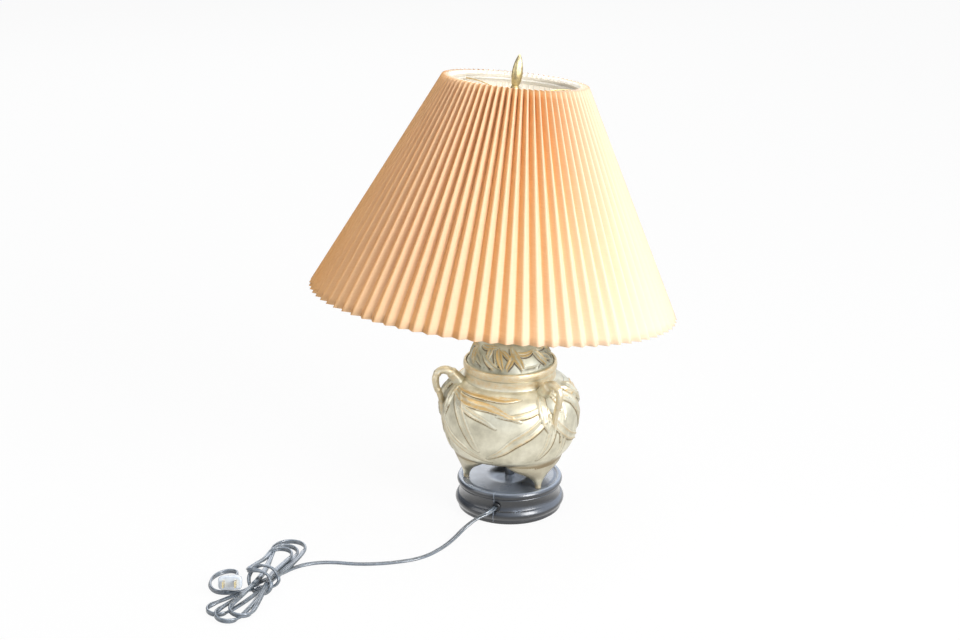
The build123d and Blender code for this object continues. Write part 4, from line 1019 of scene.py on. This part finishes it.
def make_finial():
    """Bamboo-shoot bud: three sheaths whose edges stand out as ridges that wind slowly up,
    r (1 + 0.085 w) with w the rounded zigzag of the shade's pleats, three to the turn."""
    axes = shade_frame()
    stem = heights_on("finial_bud", axes[0], axes[3])[1] - BUD_H
    base_low, base_high = heights_on("finial_base", axes[0], axes[3])
    outline = evenly(smooth_line(BUD_OUTLINE, 160), 80)
    angles = round_angles(60)
    up = outline[:, 1:] / BUD_H
    wave = np.arcsin(BUD_FOLD * np.cos(3 * angles + BUD_RIDGE_TURN + BUD_TWIST * up))
    r = outline[:, :1] * (1 + 0.085 * wave / math.asin(BUD_FOLD) * smoothstep(0.0, 0.12, up))
    grid = leaning(axes, r, stem + outline[:, 1:] + 0 * angles, angles)
    grid[..., 0] += BUD_LEAN * up ** 1.4
    Shell().add(grid, caps=(True, True)).piece(
        "finial_shoot", "finial", "finial_brass", ("finial_bud",))
    collar = eased([(3.3, base_low), (6.2, base_low), (6.2, base_low + 2.4), (5.0, base_low + 3.2),
                    (4.6, base_high - 1.2), (5.0, base_high - 0.5), (4.3, base_high),
                    (3.3, base_high)], 0.4)
    grid = leaning(axes, collar[:, :1] + 0 * angles, collar[:, 1:] + 0 * angles, angles)
    Shell().add(grid, loop=True).piece(
        "finial_collar", "finial", "finial_brass", ("finial_base",))


# ---- stage -------------------------------------------------------------------
CAMERA_AT = (-0.0343, -2.2165, 1.0468)
CAMERA_TILT = 69.7
CAMERA_LENS, SENSOR = 78.75, 36.0
LOOKED = ("Is Camera Ray",)
MIRRORED = ("Is Glossy Ray", "Is Transmission Ray")
FLOOR_HALF = 14              # metres
# lamps: place, the height on the axis they aim at, width, height, watts
LAMPS = [("window", (1.62, -1.7, 1.3), 0.3, 1.1, 1.3, 62.0),
         ("far_window", (-2.2, -1.0, 1.0), 0.3, 1.8, 1.4, 16.0),
         ("back_window", (-0.5, 2.3, 1.3), 0.3, 1.8, 1.4, 14.0),
         ("skylight", (0.2, -0.3, 2.6), 0.4, 1.6, 1.6, 29.0)]


def make_camera():
    data = bpy.data.cameras.new("camera")
    data.lens, data.sensor_width, data.clip_end = CAMERA_LENS, SENSOR, 50.0
    camera = bpy.data.objects.new("camera", data)
    camera.location = CAMERA_AT
    camera.rotation_euler = (math.radians(CAMERA_TILT), 0, 0)
    bpy.context.scene.collection.objects.link(camera)
    bpy.context.scene.camera = camera


def shown_to(tree, kinds, share, first, second):
    """The second shader for a share of what rays of some kinds see, the first for all else."""
    path = add(tree, "ShaderNodeLightPath")
    seen, output = path, kinds[0]
    for kind in kinds[1:]:
        seen = add(tree, "ShaderNodeMath", [(0, seen, output), (1, path, kind)],
                   operation="MAXIMUM")
        output = "Value"
    seen = add(tree, "ShaderNodeMath", [(0, seen, output)], operation="MULTIPLY", _1=share)
    return add(tree, "ShaderNodeMixShader", [(0, seen, "Value"), (1, first, 0), (2, second, 0)])


def make_world(scene):
    """Plain pale light all round. What a camera sees past the floor is white; what polished
    pieces mirror is a pale sky, brighter towards the window on the right."""
    scene.world = bpy.data.worlds.new("studio")
    scene.world.use_nodes = True
    tree = scene.world.node_tree
    plain = tree.nodes["Background"]
    plain.inputs["Color"].default_value = colour("#f1f5fc")
    plain.inputs["Strength"].default_value = 0.13
    white = add(tree, "ShaderNodeBackground", Color=(1, 1, 1, 1), Strength=1.0)
    way = add(tree, "ShaderNodeTexCoord")
    facing = add(tree, "ShaderNodeVectorMath", [(0, way, "Generated")],
                 operation="DOT_PRODUCT", _1=(0.85, -0.1, 0.5))
    bright = greys(tree, facing, -0.5, 0.9, 0.4, 2.8, output="Value")
    sky = add(tree, "ShaderNodeBackground", [("Strength", bright, "Result")],
              Color=colour("#dde8fa"))
    blend = shown_to(tree, MIRRORED, 1.0, plain, sky)
    blend = shown_to(tree, LOOKED, 1.0, blend, white)
    tree.links.new(blend.outputs[0], tree.nodes["World Output"].inputs["Surface"])


def make_floor(scene):
    """Pale floor, nearly its own white to the eye and in mirrors, that keeps a soft shadow."""
    data = bpy.data.meshes.new("floor")
    data.from_pydata([(x * FLOOR_HALF, y * FLOOR_HALF, 0)
                      for x, y in ((-1, -1), (1, -1), (1, 1), (-1, 1))], [], [(0, 1, 2, 3)])
    floor = bpy.data.objects.new("floor", data)
    scene.collection.objects.link(floor)
    paper, tree, matte = finish("white_paper", "#efefef", 0.9)
    glow = add(tree, "ShaderNodeEmission", Color=(1, 1, 1, 1), Strength=1.0)
    blend = shown_to(tree, LOOKED + MIRRORED, 0.94, matte, glow)
    tree.links.new(blend.outputs[0], tree.nodes["Material Output"].inputs["Surface"])
    data.materials.append(paper)


def make_stage():
    """World, floor and soft lamps, the brightest from the right."""
    scene = bpy.context.scene
    scene.view_settings.view_transform = "Standard"
    make_world(scene)
    make_floor(scene)
    for name, at, aim_high, wide, high, power in LAMPS:
        lamp = bpy.data.lights.new(name, "AREA")
        lamp.shape, lamp.size, lamp.size_y, lamp.energy = "RECTANGLE", wide, high, power
        obj = bpy.data.objects.new(name, lamp)
        obj.location = at
        way = Vector((0, 0, aim_high)) - Vector(at)
        obj.rotation_euler = way.to_track_quat("-Z", "Y").to_euler()
        scene.collection.objects.link(obj)


make_camera()
dress_solids()
make_cord()
make_shade()
make_base()
make_urn()
for handle, root in ROOTS.items():
    make_handle(handle, root)
make_lid()
make_finial()
make_stage()

bpy.context.view_layer.update()
